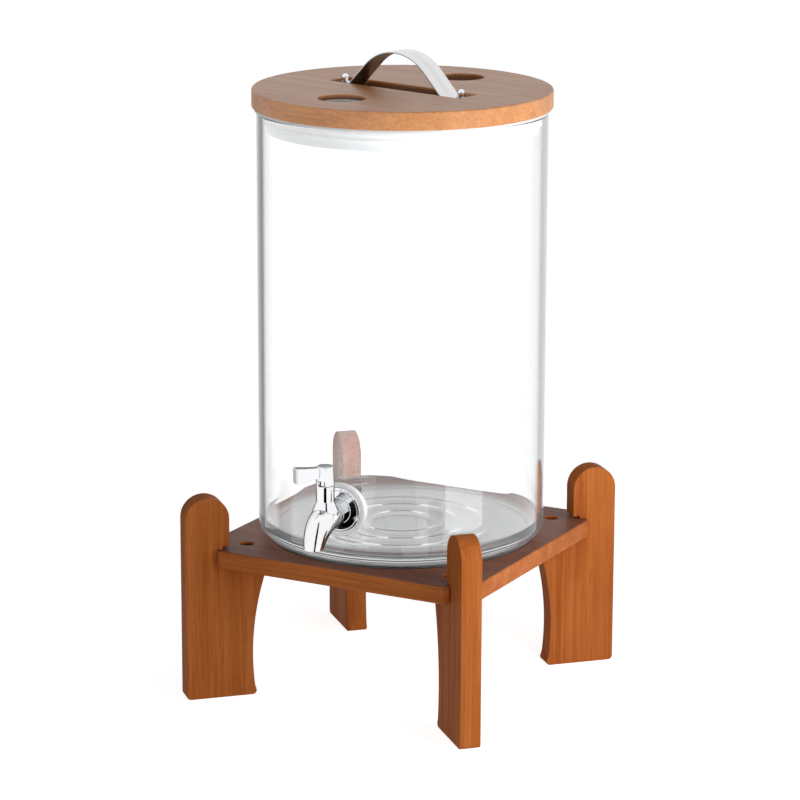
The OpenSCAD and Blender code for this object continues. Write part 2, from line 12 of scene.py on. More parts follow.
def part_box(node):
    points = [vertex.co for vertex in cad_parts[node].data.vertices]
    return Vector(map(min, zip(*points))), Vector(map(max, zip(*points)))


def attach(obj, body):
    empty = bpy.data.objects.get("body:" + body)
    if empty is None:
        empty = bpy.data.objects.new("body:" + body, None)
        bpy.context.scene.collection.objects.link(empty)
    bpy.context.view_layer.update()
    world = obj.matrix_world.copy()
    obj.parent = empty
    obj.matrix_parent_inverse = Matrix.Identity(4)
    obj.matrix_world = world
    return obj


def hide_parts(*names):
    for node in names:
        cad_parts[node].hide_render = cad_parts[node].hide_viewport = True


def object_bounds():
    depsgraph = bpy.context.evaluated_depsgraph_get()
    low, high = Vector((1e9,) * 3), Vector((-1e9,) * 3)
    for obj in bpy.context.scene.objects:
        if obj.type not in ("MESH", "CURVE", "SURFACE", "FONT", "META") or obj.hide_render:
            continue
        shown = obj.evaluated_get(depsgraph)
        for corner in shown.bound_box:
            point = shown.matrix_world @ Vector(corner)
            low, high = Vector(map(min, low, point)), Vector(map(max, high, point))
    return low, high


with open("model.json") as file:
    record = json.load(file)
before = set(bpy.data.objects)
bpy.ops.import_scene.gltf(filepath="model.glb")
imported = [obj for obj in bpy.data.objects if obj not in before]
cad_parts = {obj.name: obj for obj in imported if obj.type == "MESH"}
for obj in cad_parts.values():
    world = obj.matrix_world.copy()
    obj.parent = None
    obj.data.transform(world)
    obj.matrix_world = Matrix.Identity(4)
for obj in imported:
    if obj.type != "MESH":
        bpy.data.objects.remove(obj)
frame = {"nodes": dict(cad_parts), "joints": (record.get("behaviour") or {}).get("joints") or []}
CAD_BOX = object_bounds()

bl_info = {
    "name": "Glass Drink Dispenser",
    "version": (1, 0, 0),
    "blender": (4, 5, 0),
    "location": "View3D > Sidebar > Dispenser",
    "description": "Builds the stand, jar, tap and lid of a glass drink dispenser",
    "category": "Add Mesh",
}

MM = 0.001
PAST = 1 * MM  # how far a cutter stands past the face that it cuts
WELD = 0.001 * MM  # corners nearer than this are one
CARD_LIFT = 0.5 * MM  # how far the dark cards lie above the floor
SHARP = math.radians(30)  # edges that turn more than this stay sharp
RIGHT_ANGLE = math.pi / 2
STRAIGHT_OUT = -RIGHT_ANGLE  # turn from the X axis to -Y
FULL_ROUND = 0.999  # share of half a width that the radius of a round end takes
SMALL_STEPS, ROUND_STEPS, JAR_STEPS = 64, 96, 192
SQUARE = ((-1, -1), (1, -1), (1, 1), (-1, 1))
LAID_OUT = Matrix.Rotation(RIGHT_ANGLE, 4, "X")  # lays the Z axis out along -Y
BLACK, WHITE = (0, 0, 0, 1), (1, 1, 1, 1)

# Places read from the frame

BOARD_LOW, BOARD_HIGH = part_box("stand_board")
LEG_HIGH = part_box("leg_front_left")[1]
MAT_LOW, MAT_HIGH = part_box("base_mat")
JAR_LOW, JAR_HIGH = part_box("glass_jar")
LID_LOW, LID_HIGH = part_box("lid_board")
PLUG_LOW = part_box("lid_plug")[0]
SEAL_LOW, SEAL_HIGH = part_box("lid_seal_ring")
STOPPER_LOW, STOPPER_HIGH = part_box("lid_stopper")
STRAP_LOW, STRAP_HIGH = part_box("handle_strap")
WASHER_LOW, WASHER_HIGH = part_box("handle_washers")
NUT_LOW, NUT_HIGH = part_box("handle_dome_nuts")
NECK = Vector(next(joint["pos_m"] for joint in frame["joints"] if joint["name"] == "tap_turn"))
NECK_AT = NECK.xy.length
TAP_TURN = math.atan2(NECK.x, -NECK.y)
TAP_PLACE = Matrix.Translation((0, 0, NECK.z)) @ Matrix.Rotation(TAP_TURN, 4, "Z")  # -Y is out from the jar
AT_NECK = Matrix.Translation((0, -NECK_AT, 0))
LEG_TURNS = {
    "leg_front_left": math.radians(225),
    "leg_front_right": math.radians(315),
    "leg_back_left": math.radians(135),
    "leg_back_right": math.radians(45),
}


# Settings


def length(name, millimetres, description):
    """A size, given in millimetres and kept in metres."""
    return FloatProperty(
        name=name, description=description, default=millimetres * MM, unit="LENGTH", precision=5)


def degrees(name, value, description):
    """An angle, given in degrees."""
    return FloatProperty(name=name, description=description, default=math.radians(value), subtype="ANGLE")


def share(name, value, description):
    """A plain number."""
    return FloatProperty(name=name, description=description, default=value, precision=3)


def tint(name, shown, description):
    """A colour, given as red, green and blue from 0 to 255 as the screen shows them."""
    linear = Color([channel / 255 for channel in shown]).from_srgb_to_scene_linear()
    return FloatVectorProperty(
        name=name, description=description, default=linear[:], subtype="COLOR", min=0, max=1)


def place(name, metres, description):
    """A point of the stage, in metres."""
    return FloatVectorProperty(
        name=name, description=description, default=metres, subtype="XYZ", unit="LENGTH")


class StandSettings(bpy.types.PropertyGroup):
    """Sizes, stain and painted shade of the wooden stand."""

    corner_cut: length("Corner cut", 12.4, "Depth cut off each corner of the board")
    prong: length("Prong", 9, "Length of the board's prongs beside the inner edge of a lobe")
    slot_room: length("Slot room", 0.2, "Gap between a leg and its slot in the board")
    leg_thickness: length("Leg thickness", 14, "Thickness of the legs")
    lobe_width: length("Lobe width", 30, "Width of the upright lobe of each leg")
    notch_depth: length("Notch depth", 4.5, "Depth of the notch that takes the board")
    notch_room: length("Notch room", 1.2, "Room above the board in the notch")
    waist: length("Waist", 45.4, "Width of a leg at its narrowest")
    waist_height: length("Waist height", 28, "Height of the waist above the floor")
    hollow: length("Hollow", 181, "Radius of the hollowed inner edge of a leg")
    foot_round: length("Foot round", 3, "Radius of the foot corners of a leg")
    edge_round: length("Edge round", 1.3, "Radius of the sanded edges")
    screw_inset: length("Screw inset", 13.5, "Distance from the inner edge of a lobe in to its screw")
    screw_hole: length("Screw hole", 4.8, "Diameter of the screw holes")
    counterbore: length("Counterbore", 9.4, "Diameter of the counterbores")
    counterbore_depth: length("Counterbore depth", 6, "Depth of the counterbores")
    counterbore_ease: length("Counterbore ease", 0.4, "Width of the eased rims of the counterbores")
    light_stain: tint("Light stain", (193, 114, 59), "Colour of the paler grain")
    dark_stain: tint("Dark stain", (153, 79, 33), "Colour of the darker grain")
    board_gloss: share("Board gloss", 0.07, "Strength of the oiled sheen on the board")
    leg_gloss: share("Leg gloss", 0.008, "Strength of the oiled sheen on the legs")
    # Painted shade: the board's top is darkened and greyed, standing in for the dim light from above and its
    # grey sheen.
    painted_top_shade: tint("Top shade", (68, 69, 76), "Colour that the top of the board goes towards")
    # Painted shade: the walls of the counterbores are darkened where little light reaches into them.
    painted_bore_shade: tint("Bore shade", (44, 14, 4), "Colour that the walls of the counterbores go towards")


class JarSettings(bpy.types.PropertyGroup):
    """Sizes and tint of the glass jar and the mat under it."""

    diameter: length("Diameter", 190, "Outside diameter of the glass")
    wall: length("Wall", 3.5, "Thickness of the glass wall")
    base: length("Base", 7, "Thickness of the glass base")
    corner: length("Corner", 10, "Outside radius where the wall meets the base")
    inner_corner: length("Inner corner", 8, "Inside radius where the wall meets the base")
    ripple: length("Ripple", 24, "Radius of the first ripple ring in the base")
    ripple_pitch: length("Ripple pitch", 17, "Distance from one ripple ring to the next")
    ripple_height: length("Ripple height", 0.3, "Height of the ripple rings")
    ripple_round: length("Ripple round", 40, "Radius of the ripple rings' section")
    ripple_ease: share("Ripple ease", 0.95, "Share of that radius which the crests are rounded to")
    ripple_width: length("Ripple width", 9.8, "Width of the ripple rings")
    hole: length("Tap hole", 14, "Diameter of the hole for the tap")
    mat_diameter: length("Mat diameter", 178, "Diameter of the mat under the jar")
    mat_gap: length("Mat gap", 0.1, "Thin air gap between the mat and the glass")
    mat_edge: length("Mat edge", 0.3, "Radius of the mat's edges")
    depth_tint: tint("Depth tint", (170, 174, 173), "Colour that thick glass goes towards")
    depth_density: share("Depth density", 5.0, "How fast thick glass takes up its tint, per metre")
    # Painted shade: the glass darkens at its outlines as it turns away, standing in for the dark surroundings
    # that it mirrors and bends.
    painted_outline_shade: tint("Edge tint", (104, 108, 108), "Colour that the glass goes towards at its outlines")
    # Painted light: a pale glow that camera rays see on the glass, standing in for the studio's reflections
    # on it.
    painted_glow_veil: tint("Veil", (98, 100, 101), "Pale light of the studio that lies on the glass")
    mat_metal: tint("Mat metal", (112, 112, 112), "Colour of the mat")


class TapSettings(bpy.types.PropertyGroup):
    """Sizes of the tap, its gaskets and its lever."""

    shank: length("Shank", 13, "Diameter of the threaded shank")
    shank_end: length("Shank end", 79, "Distance from the jar's axis to the inner end of the shank")
    thread_pitch: length("Thread pitch", 1.5, "Distance from one thread to the next")
    thread_depth: length("Thread depth", 0.7, "Depth of the thread")
    flange: length("Flange", 30, "Diameter of the flange")
    flange_at: length("Flange back", 98, "Distance from the jar's axis to the back of the flange")
    flange_thickness: length("Flange thickness", 2, "Thickness of the flange at its rim")
    dish: length("Dish", 0.5, "Depth of the flange's face behind its raised rim")
    rim_width: length("Rim width", 1.8, "Width of the flange's raised rim")
    rim_slope: length("Rim slope", 0.4, "Width of the slope from the raised rim down to the face")
    rim_round: length("Rim round", 0.7, "Radius of the front edge of the raised rim")
    edge_round: length("Edge round", 0.5, "Radius of the flange's back edge, the outlet and the gasket")
    fine_round: length("Fine round", 0.4, "Radius of the inner edge of the raised rim and of the neck's rim")
    foot_round: length("Foot round", 0.3, "Radius at the foot of the raised rim and of the hub")
    barrel: length("Barrel", 16.4, "Diameter of the barrel behind the neck")
    body: length("Body", 18, "Diameter of the body under the neck")
    outlet: length("Outlet", 12.2, "Diameter of the outlet")
    bore: length("Bore", 8, "Diameter of the water way")
    bend_start: length("Bend start", 20, "Distance from the back of the flange to the spout's bend")
    bend: length("Bend", 20, "Radius of the spout's bend")
    outlet_drop: length("Outlet drop", 15.5, "Drop from the tap's axis to the outlet")
    outlet_past: degrees("Outlet past", 4, "How far the bend goes on before it is cut level")
    neck: length("Neck", 11.9, "Diameter of the neck")
    neck_height: length("Neck height", 22, "Height of the neck's rim above the tap's axis")
    boss: length("Boss", 17, "Diameter of the boss at the foot of the neck")
    boss_height: length("Boss height", 5.2, "Height of the boss above the tap's axis")
    boss_top: length("Boss top", 11, "Height where the boss has drawn in to the neck")
    boss_round: length("Boss round", 5, "Radius of the boss's shoulder and of the hollow above it")
    plug_hole: length("Plug hole", 8.9, "Diameter of the hole for the valve plug")
    tab_height: length("Tab height", 3.3, "Height of the stop tab above the neck's rim")
    tab_angle: degrees("Tab angle", 46, "Part of the neck's rim that the stop tab takes up")
    tab_inset: length("Tab inset", 0.02, "How far the stop tab stays inside the neck")
    tab_overlap: length("Tab overlap", 0.3, "How far the stop tab reaches in before the hole is cut")
    tab_room: degrees("Tab room", 2, "Room left for the stop tab at the two ends of its way")
    tab_cut_overlap: length("Tab cut overlap", 0.25, "How far the tab's cut reaches in past the hole")
    travel: degrees("Travel", 90, "How far the lever can turn")
    rest: degrees("Rest", 45, "How far the lever at rest stands from straight out")
    hub_gap: length("Hub gap", 0.2, "Gap between the neck's rim and the hub")
    hub: length("Hub", 12, "Diameter of the hub at its foot")
    hub_top: length("Hub top", 10.8, "Diameter of the hub at its top")
    hub_height: length("Hub height", 12.5, "Height of the hub")
    hub_round: length("Hub round", 0.8, "Radius of the hub's upper edge")
    lever_reach: length("Lever reach", 20.5, "Distance from the hub's axis to the end of the lever")
    lever_root: length("Lever root", 2, "Distance from the hub's axis to the root of the lever")
    lever_end_width: length("Lever end width", 7.4, "Width of the lever at its end")
    lever_end_height: length("Lever end height", 10.4, "Height of the lever at its end")
    lever_root_width: length("Lever root width", 5.6, "Width of the lever at its root")
    lever_root_height: length("Lever root height", 7, "Height of the lever at its root")
    lever_root_drop: length("Lever root drop", 0.6, "Depth of the lever's root below the top of the hub")
    lever_rise: length("Lever rise", 0.4, "Height of the lever's end above the top of the hub")
    lever_edge: length("Lever edge", 1.2, "Radius of the lever's long edges")
    lever_end_edge: length("Lever end edge", 0.9, "Radius of the edges round the lever's end")
    gasket: length("Outer gasket", 35, "Diameter of the outer gasket")
    gasket_room: length("Gasket room", 0.2, "Gap between the shank and the outer gasket")
    nut_flats: length("Nut flats", 20, "Width of the nut across its flats")
    nut_at: length("Nut front", 89, "Distance from the jar's axis to the nut's face on the glass side")
    nut_thickness: length("Nut thickness", 7, "Thickness of the nut")
    nut_room: length("Nut room", 0.03, "Gap between the shank and the nut")
    chrome: tint("Chrome", (246, 247, 249), "Colour of the plating")
    # Painted shade: the plating's grazing reflections are darkened towards this colour, which gives it dark
    # outlines.
    painted_chrome_outline: tint("Chrome edge", (80, 80, 84), "Colour that the plating goes towards at its outlines")
    brass: tint("Brass", (196, 160, 88), "Colour of the valve plug")
    silicone: tint("Silicone", (250, 251, 250), "Colour of the gaskets")


class LidSettings(bpy.types.PropertyGroup):
    """Sizes and colours of the lid and its plug."""

    overhang: length("Overhang", 3, "How far the lid stands out past the glass")
    edge: length("Edge", 1.2, "Radius of the lid's edges")
    turn: degrees("Turn", -13, "How far the lid lies turned on the jar")
    hole: length("Hole", 31, "Diameter of the two round holes")
    hole_edge: length("Hole edge", 23.5, "Wood left between each round hole and the rim")
    rim_ease: length("Eased rims", 0.25, "Width of the eased rims of the holes and the groove")
    groove_length: length("Groove length", 111, "Length of the groove for the handle")
    groove_width: length("Groove width", 20, "Width of the groove")
    groove_round: length("Groove round", 0.5, "Radius of the groove's corners")
    plug_top: length("Plug top", 3, "Thickness of the plug's top")
    plug_rim: length("Plug rim", 1.6, "Thickness of the plug's rim that lies on the glass")
    plug_rim_over: length("Plug rim over", 1.5, "How far the plug's rim stands out past the glass")
    plug_wall: length("Plug wall", 3, "Thickness of the plug's wall")
    plug_rim_round: length("Plug rim round", 0.2, "Radius of the edges of the plug's rim")
    plug_foot_round: length("Plug foot round", 0.8, "Radius of the edges at the foot of the plug")
    plug_inner_round: length("Plug inner round", 2, "Radius between the plug's wall and its top, inside")
    seal_space: length("Seal space", 3, "Gap between the plug's wall and the glass")
    seal_lip_gap: length("Seal lip gap", 0.3, "Gap between the seal's lips and the glass")
    seal_lip_round: length("Seal lip round", 0.25, "Radius of the edges of the seal's lips")
    seal_end_round: length("Seal end round", 0.2, "Radius of the seal's upper edge")
    stopper_room: length("Stopper room", 0.2, "Gap between the stopper and the wood")
    stopper_edge: length("Stopper edge", 1, "Radius of the stopper's edges")
    stopper_rim: length("Stopper rim", 2.4, "Width of the stopper's raised rim")
    stopper_dish: length("Stopper dish", 0.5, "Depth of the stopper's face behind its raised rim")
    stopper_round: length("Stopper round", 0.4, "Radius of the edges between the rim and the face")
    light_stain: tint("Light stain", (236, 162, 96), "Colour of the paler grain")
    dark_stain: tint("Dark stain", (204, 128, 68), "Colour of the darker grain")
    gloss: share("Gloss", 0.95, "Strength of the oiled sheen")
    # Painted shade in the holes and the groove, together with the darker stain that end grain takes up.
    hole_shade_and_end_grain: tint("Cut shade", (70, 26, 10), "Colour that the walls of the holes go towards")
    plug_white: tint("Plug white", (238, 240, 242), "Colour of the plug")


class HandleSettings(bpy.types.PropertyGroup):
    """Sizes and colour of the strap handle and its fixings."""

    width: length("Width", 17, "Width of the strap")
    thickness: length("Thickness", 1.2, "Thickness of the strap")
    half_span: length("Half span", 42.5, "Half the distance between the two lower bends")
    slope: degrees("Slope", 45, "Slope of the strap's sides")
    bend: length("Bend", 3, "Radius of the lower bends")
    foot: length("Foot", 12, "Length of each foot past its bend")
    corner: length("Corner", 2, "Radius of the corners of the feet")
    edge: length("Edge", 0.3, "Radius of the strap's edges")
    screw_at: length("Screw place", 49.5, "Distance from the lid's axis to each screw")
    screw: length("Screw", 3, "Diameter of the screws")
    screw_room: length("Screw room", 0.3, "Gap between a screw and the wood")
    washer: length("Washer", 7.5, "Diameter of the washers")
    washer_room: length("Washer room", 0.2, "Gap between a screw and its washer")
    washer_low_round: length("Washer low round", 0.15, "Radius of a washer's lower edge")
    washer_high_round: length("Washer high round", 0.25, "Radius of a washer's upper edge")
    nut_flats: length("Nut flats", 5.5, "Width of the dome nuts across their flats")
    nut_hexagon: length("Nut hexagon", 2.4, "Height of the hexagon of the dome nuts")
    dome_inset: length("Dome inset", 0.4, "How far the dome stays inside the flats")
    # Painted shade and a painted brown reflection of the lid on the strap's underside.
    painted_underside_shade: tint("Steel underneath", (84, 74, 68), "Colour that the steel's underside goes towards")
    steel: tint("Steel", (240, 240, 240), "Colour of the brushed steel")


class StageSettings(bpy.types.PropertyGroup):
    """Camera, lamps and floor."""

    camera: place("Camera", (1.0191, -1.9388, 0.7490), "Where the camera stands")
    camera_pitch: degrees("Camera pitch", 75.755, "Tilt of the camera up from straight down")
    camera_heading: degrees("Camera heading", 27.754, "Turn of the camera about the vertical")
    camera_roll: degrees("Camera roll", 0.177, "Turn of the camera about its own line of sight")
    lens: share("Lens", 153.44, "Focal length of the camera, in millimetres")
    sky: share("Sky", 2.0, "Strength of the even light low on the lit side")
    sky_shade: share("Sky shade", 0.3, "Strength of the even light low on the far side")
    sky_end: share("Sky end", 0.72, "Sine of the height above which the even light has faded")
    sky_side: degrees("Sky side", 50, "Direction of the lit side, from the front round to the right")
    key: place("Key lamp", (0.36, -0.10, 0.22), "Where the key lamp stands")
    key_width: length("Key lamp width", 200, "Width of the key lamp")
    key_height: length("Key lamp height", 360, "Height of the key lamp")
    key_power: share("Key lamp power", 0.95, "Power of the key lamp, in watts")
    edge_start: degrees("Edge start", 6, "Turn out behind the jar's edge where the graded cards begin")
    edge_end: degrees("Edge end", 27, "Turn out behind the jar's edge where the graded cards are darkest")
    edge_last: degrees("Edge last", 38, "Turn out behind the jar's edge where the graded cards end")
    edge_near: length("Edge near", 150, "Distance from the jar to the near end of the graded cards")
    edge_far: length("Edge far", 3600, "Distance from the jar to the far end of the graded cards")
    edge_left: share("Edge left", 0.2, "Brightness of the left card where it is darkest")
    edge_right: share("Edge right", 0.6, "Brightness of the right card where it is darkest")
    strip_near: length("Strip near", 380, "Distance from the tap to the strip that lies towards the camera")
    strip_far: length("Strip far", 850, "Distance from the tap to the far end of the strip")
    strip_width: length("Strip width", 330, "Width of the strip")
    foot_turn: degrees("Foot card turn", 9, "Turn to the right of the dark card before the tap")
    foot_near: length("Foot card near", 150, "Distance from the tap to the near end of the card before it")
    foot_far: length("Foot card far", 380, "Distance from the tap to the far end of the card before it")
    foot_width: length("Foot card width", 330, "Width of the card before the tap")
    face_near: length("Face card near", 380, "Distance from the tap to the card that the flange mirrors")
    face_far: length("Face card far", 490, "Distance from the tap to the far end of the face card")
    face_width: length("Face card width", 120, "Width of the face card")
    post_turn: degrees("Upright card turn", 40, "Turn to the right of the dark upright card")
    post_reach: length("Upright card reach", 700, "Distance from the tap to the upright card")
    post_width: length("Upright card width", 220, "Width of the upright card")
    post_height: length("Upright card height", 2000, "Height of the upright card")
    post_slope: share("Upright card slope", 0.165, "Fall of the rays that the upright card lets through")
    floor_size: length("Floor size", 8000, "Side of the floor")
    floor_tint: tint("Floor tint", (236, 236, 236), "Colour of the floor")
    floor_glow: share("Floor glow", 0.86, "Light that the floor adds where it is looked at")


class DispenserSettings(bpy.types.PropertyGroup):
    """All settings of the dispenser."""

    stand: PointerProperty(type=StandSettings)
    jar: PointerProperty(type=JarSettings)
    tap: PointerProperty(type=TapSettings)
    lid: PointerProperty(type=LidSettings)
    handle: PointerProperty(type=HandleSettings)
    stage: PointerProperty(type=StageSettings)


# Shapes


def round_corner(bm, vert, radius, segments):
    """Rounds one corner of a wire to a radius."""
    before, after = (edge.other_vert(vert).co - vert.co for edge in vert.link_edges)
    reach = radius / math.tan(before.angle(after) / 2)
    bmesh.ops.bevel(
        bm, geom=[vert], offset=reach, offset_type="OFFSET", affect="VERTICES",
        segments=segments, profile=0.5, material=-1)


def chain(bm, corners, closed=False, segments=6):
    """Joins corners, each a place and a radius, into a wire with rounded corners, and gives its corners."""
    verts = [bm.verts.new(where) for where, _ in corners]
    ends = verts[1:] + verts[:1] if closed else verts[1:]
    for start, end in zip(verts, ends):
        bm.edges.new((start, end))
    for vert, (_, radius) in zip(verts, corners):
        if radius:
            round_corner(bm, vert, radius, segments)
    return verts


def verts_in(geom):
    """The corners among what an operator gives back."""
    return [item for item in geom if isinstance(item, bmesh.types.BMVert)]


def close(bm):
    """Merges doubles and turns all faces outwards."""
    bmesh.ops.remove_doubles(bm, verts=bm.verts[:], dist=WELD)
    bmesh.ops.recalc_face_normals(bm, faces=bm.faces[:])
    return bm


def turned(profile, closed=False, steps=ROUND_STEPS, segments=6):
    """A solid turned about Z from corners given as radius, height and rounding."""
    bm = bmesh.new()
    chain(bm, [((r, 0, z), rounding) for r, z, rounding in profile], closed, segments)
    bmesh.ops.spin(
        bm, geom=bm.verts[:] + bm.edges[:], cent=(0, 0, 0), axis=(0, 0, 1), angle=math.tau,
        steps=steps, use_merge=True)
    return close(bm)


def face_inside(corners):
    """One face inside a closed wire with rounded corners."""
    bm = bmesh.new()
    chain(bm, corners, closed=True)
    bmesh.ops.contextual_create(bm, geom=bm.edges[:])
    return bm


def thicken(bm, along):
    """Makes a solid of the one face of a bmesh, drawn out along a vector."""
    grown = bmesh.ops.extrude_face_region(bm, geom=bm.faces[:], use_keep_orig=True)["geom"]
    bmesh.ops.translate(bm, vec=along, verts=verts_in(grown))
    return close(bm)


def sector(inner, outer, low, high, angle, steps):
    """A part of a ring about Z, swung round from the X axis."""
    section = ((inner, low), (outer, low), (outer, high), (inner, high))
    bm = face_inside([((r, 0, z), 0) for r, z in section])
    bmesh.ops.spin(
        bm, geom=bm.faces[:] + bm.edges[:] + bm.verts[:], cent=(0, 0, 0), axis=(0, 0, 1),
        angle=angle, steps=steps)
    return close(bm)


def swept(bm, stations):
    """Draws the one face of a bmesh out through a row of placings, the first of which it starts at."""
    bmesh.ops.transform(bm, matrix=stations[0], verts=bm.verts[:])
    end = bm.faces[:][0]
    for number, (here, there) in enumerate(zip(stations, stations[1:])):
        grown = bmesh.ops.extrude_face_region(bm, geom=[end], use_keep_orig=True)["geom"]
        bmesh.ops.transform(bm, matrix=there @ here.inverted(), verts=verts_in(grown))
        if number:
            bmesh.ops.delete(bm, geom=[end], context="FACES_ONLY")
        end = next(item for item in grown if isinstance(item, bmesh.types.BMFace))
    return close(bm)


def placed(bm, matrix):
    """Moves a whole bmesh."""
    bmesh.ops.transform(bm, matrix=matrix, verts=bm.verts[:])
    return bm


def merged(*parts):
    """Puts the meshes of several bmeshes into one, side by side."""
    whole = bmesh.new()
    for bm in parts:
        mesh = bpy.data.meshes.new("part")
        bm.to_mesh(mesh)
        whole.from_mesh(mesh)
        bm.free()
        bpy.data.meshes.remove(mesh)
    return whole


def scratch_object(bm):
    """A passing object that holds a bmesh."""
    mesh = bpy.data.meshes.new("scratch")
    bm.to_mesh(mesh)
    bm.free()
    scratch = bpy.data.objects.new("scratch", mesh)
    bpy.context.scene.collection.objects.link(scratch)
    return scratch


def combined(base, operation, *others):
    """Base with the other shapes added, cut away or kept in common."""
    objects = [scratch_object(bm) for bm in (base, *others)]
    for other in objects[1:]:
        boolean = objects[0].modifiers.new("combine", "BOOLEAN")
        boolean.operation = operation
        boolean.solver = "EXACT"
        boolean.object = other
    result = bmesh.new()
    result.from_object(objects[0], bpy.context.evaluated_depsgraph_get())
    for scratch in objects:
        bpy.data.meshes.remove(scratch.data)
    if not result.faces:
        raise RuntimeError(f"nothing is left after {operation}")
    return close(result)


def soften(bm, radius, segments=3, chosen=lambda edge: True):
    """Rounds the sharp edges of a solid, or those chosen."""
    edges = [
        edge for edge in bm.edges
        if edge.is_manifold and edge.calc_face_angle() > SHARP and chosen(edge)]
    bmesh.ops.bevel(
        bm, geom=edges, offset=radius, offset_type="OFFSET", affect="EDGES", segments=segments,
        profile=0.5, clamp_overlap=True, material=-1)
    return bm


def rod(radius, low, high):
    """A plain rod along Z, for cutting holes."""
    return turned([(0, low, 0), (radius, low, 0), (radius, high, 0), (0, high, 0)])


def drill(radius, low, high, ease):
    """A cutter for a hole whose upper rim is eased, and which starts above it."""
    return turned([
        (0, low, 0), (radius, low, 0), (radius, high - ease, ease / 2), (radius + ease, high, 0),
        (radius + ease, high + PAST, 0), (0, high + PAST, 0)])


def hexagon_corner(flats):
    """Radius of the corners of a hexagon, from its width across the flats."""
    return flats / 2 / math.cos(math.pi / 6)


def prism(flats, low, high):
    """A hexagonal prism along Z."""
    bm = bmesh.new()
    bmesh.ops.create_circle(bm, cap_ends=True, segments=6, radius=hexagon_corner(flats))
    bmesh.ops.translate(bm, vec=(0, 0, low), verts=bm.verts[:])
    return thicken(bm, (0, 0, high - low))


def about_z(angle):
    """A turn about the vertical."""
    return Matrix.Rotation(angle, 4, "Z")


def new_piece(name, bm, material, body, slot, *nodes):
    """Makes the finished piece of a bmesh, on a body, in place of CAD nodes."""
    mesh = bpy.data.meshes.new(name)
    bm.to_mesh(mesh)
    bm.free()
    mesh.shade_smooth()
    mesh.set_sharp_from_angle(angle=SHARP)
    mesh.materials.append(material)
    piece = bpy.data.objects.new(name, mesh)
    bpy.context.scene.collection.objects.link(piece)
    shading = piece.modifiers.new("even shading", "WEIGHTED_NORMAL")
    shading.keep_sharp = True
    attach(piece, body)
    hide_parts(*nodes)
    return piece


def refinish(material, *nodes):
    """Gives CAD nodes that keep their shape a new material."""
    for node in nodes:
        for slot in frame["nodes"][node].material_slots:
            slot.material = material


# Finishes


def fill_in(tree, node, inputs):
    """Fills in inputs of a node, each with a value or with an output to link."""
    for key, value in inputs.items():
        if isinstance(value, bpy.types.NodeSocket):
            tree.links.new(value, node.inputs[key])
        else:
            node.inputs[key].default_value = value


def add_node(tree, kind, inputs=None, **settings):
    """Adds a node with its settings and its inputs."""
    node = tree.nodes.new(kind)
    for key, value in settings.items():
        setattr(node, key, value)
    fill_in(tree, node, inputs or {})
    return node


def arithmetic(tree, operation, *values):
    """Values put together."""
    return add_node(tree, "ShaderNodeMath", dict(enumerate(values)), operation=operation).outputs[0]


def weighted(tree, *parts):
    """The sum of values, each given with its weight."""
    total = 0.0
    for value, weight in parts:
        total = arithmetic(tree, "MULTIPLY_ADD", value, weight, total)
    return total


def vector_math(tree, operation, *vectors):
    """Vectors put together, into a vector or, for a length or a dot product, a value."""
    node = add_node(tree, "ShaderNodeVectorMath", dict(enumerate(vectors)), operation=operation)
    return node.outputs["Value" if operation in ("LENGTH", "DOT_PRODUCT") else "Vector"]


def part_of(tree, vector, axis):
    """The part of a vector along one axis."""
    return add_node(tree, "ShaderNodeSeparateXYZ", {0: vector}).outputs[axis]


def flattened(tree, coordinates):
    """A place with its height taken out, and its distance from the Z axis."""
    flat = vector_math(tree, "MULTIPLY", coordinates, (1, 1, 0))
    return flat, vector_math(tree, "LENGTH", flat)


def facing_up(tree):
    """How far a face looks up: 1 if level, 0 if upright and -1 underneath."""
    return part_of(tree, add_node(tree, "ShaderNodeNewGeometry").outputs["Normal"], "Z")


def stretched_noise(tree, vector, stretch, detail, distortion=0.0):
    """Noise whose grain size differs along the axes: stretch is its number of grains to the metre."""
    return add_node(tree, "ShaderNodeTexNoise", {
        "Vector": vector_math(tree, "MULTIPLY", vector, stretch), "Scale": 1.0,
        "Detail": detail, "Distortion": distortion}).outputs["Fac"]


def ramp(tree, value, low, high, to_low=0.0, to_high=1.0):
    """A value taken from one range to another and held there."""
    return add_node(tree, "ShaderNodeMapRange", {
        "Value": value, "From Min": low, "From Max": high,
        "To Min": to_low, "To Max": to_high}).outputs["Result"]


def blend(tree, amount, first, second):
    """Two colours mixed by an amount."""
    amount_in, first_in, second_in, colour_out = 0, 6, 7, 2  # sockets of the node's colour mode
    return add_node(tree, "ShaderNodeMix", {
        amount_in: amount, first_in: first, second_in: second}, data_type="RGBA").outputs[colour_out]


def group_tree(name, inputs, outputs):
    """A shader node group with named sockets: the tree, its inputs and its output node."""
    tree = bpy.data.node_groups.new(name, "ShaderNodeTree")
    for socket, kind in inputs:
        tree.interface.new_socket(name=socket, in_out="INPUT", socket_type=kind)
    for socket, kind in outputs:
        tree.interface.new_socket(name=socket, in_out="OUTPUT", socket_type=kind)
    return tree, tree.nodes.new("NodeGroupInput").outputs, tree.nodes.new("NodeGroupOutput").inputs


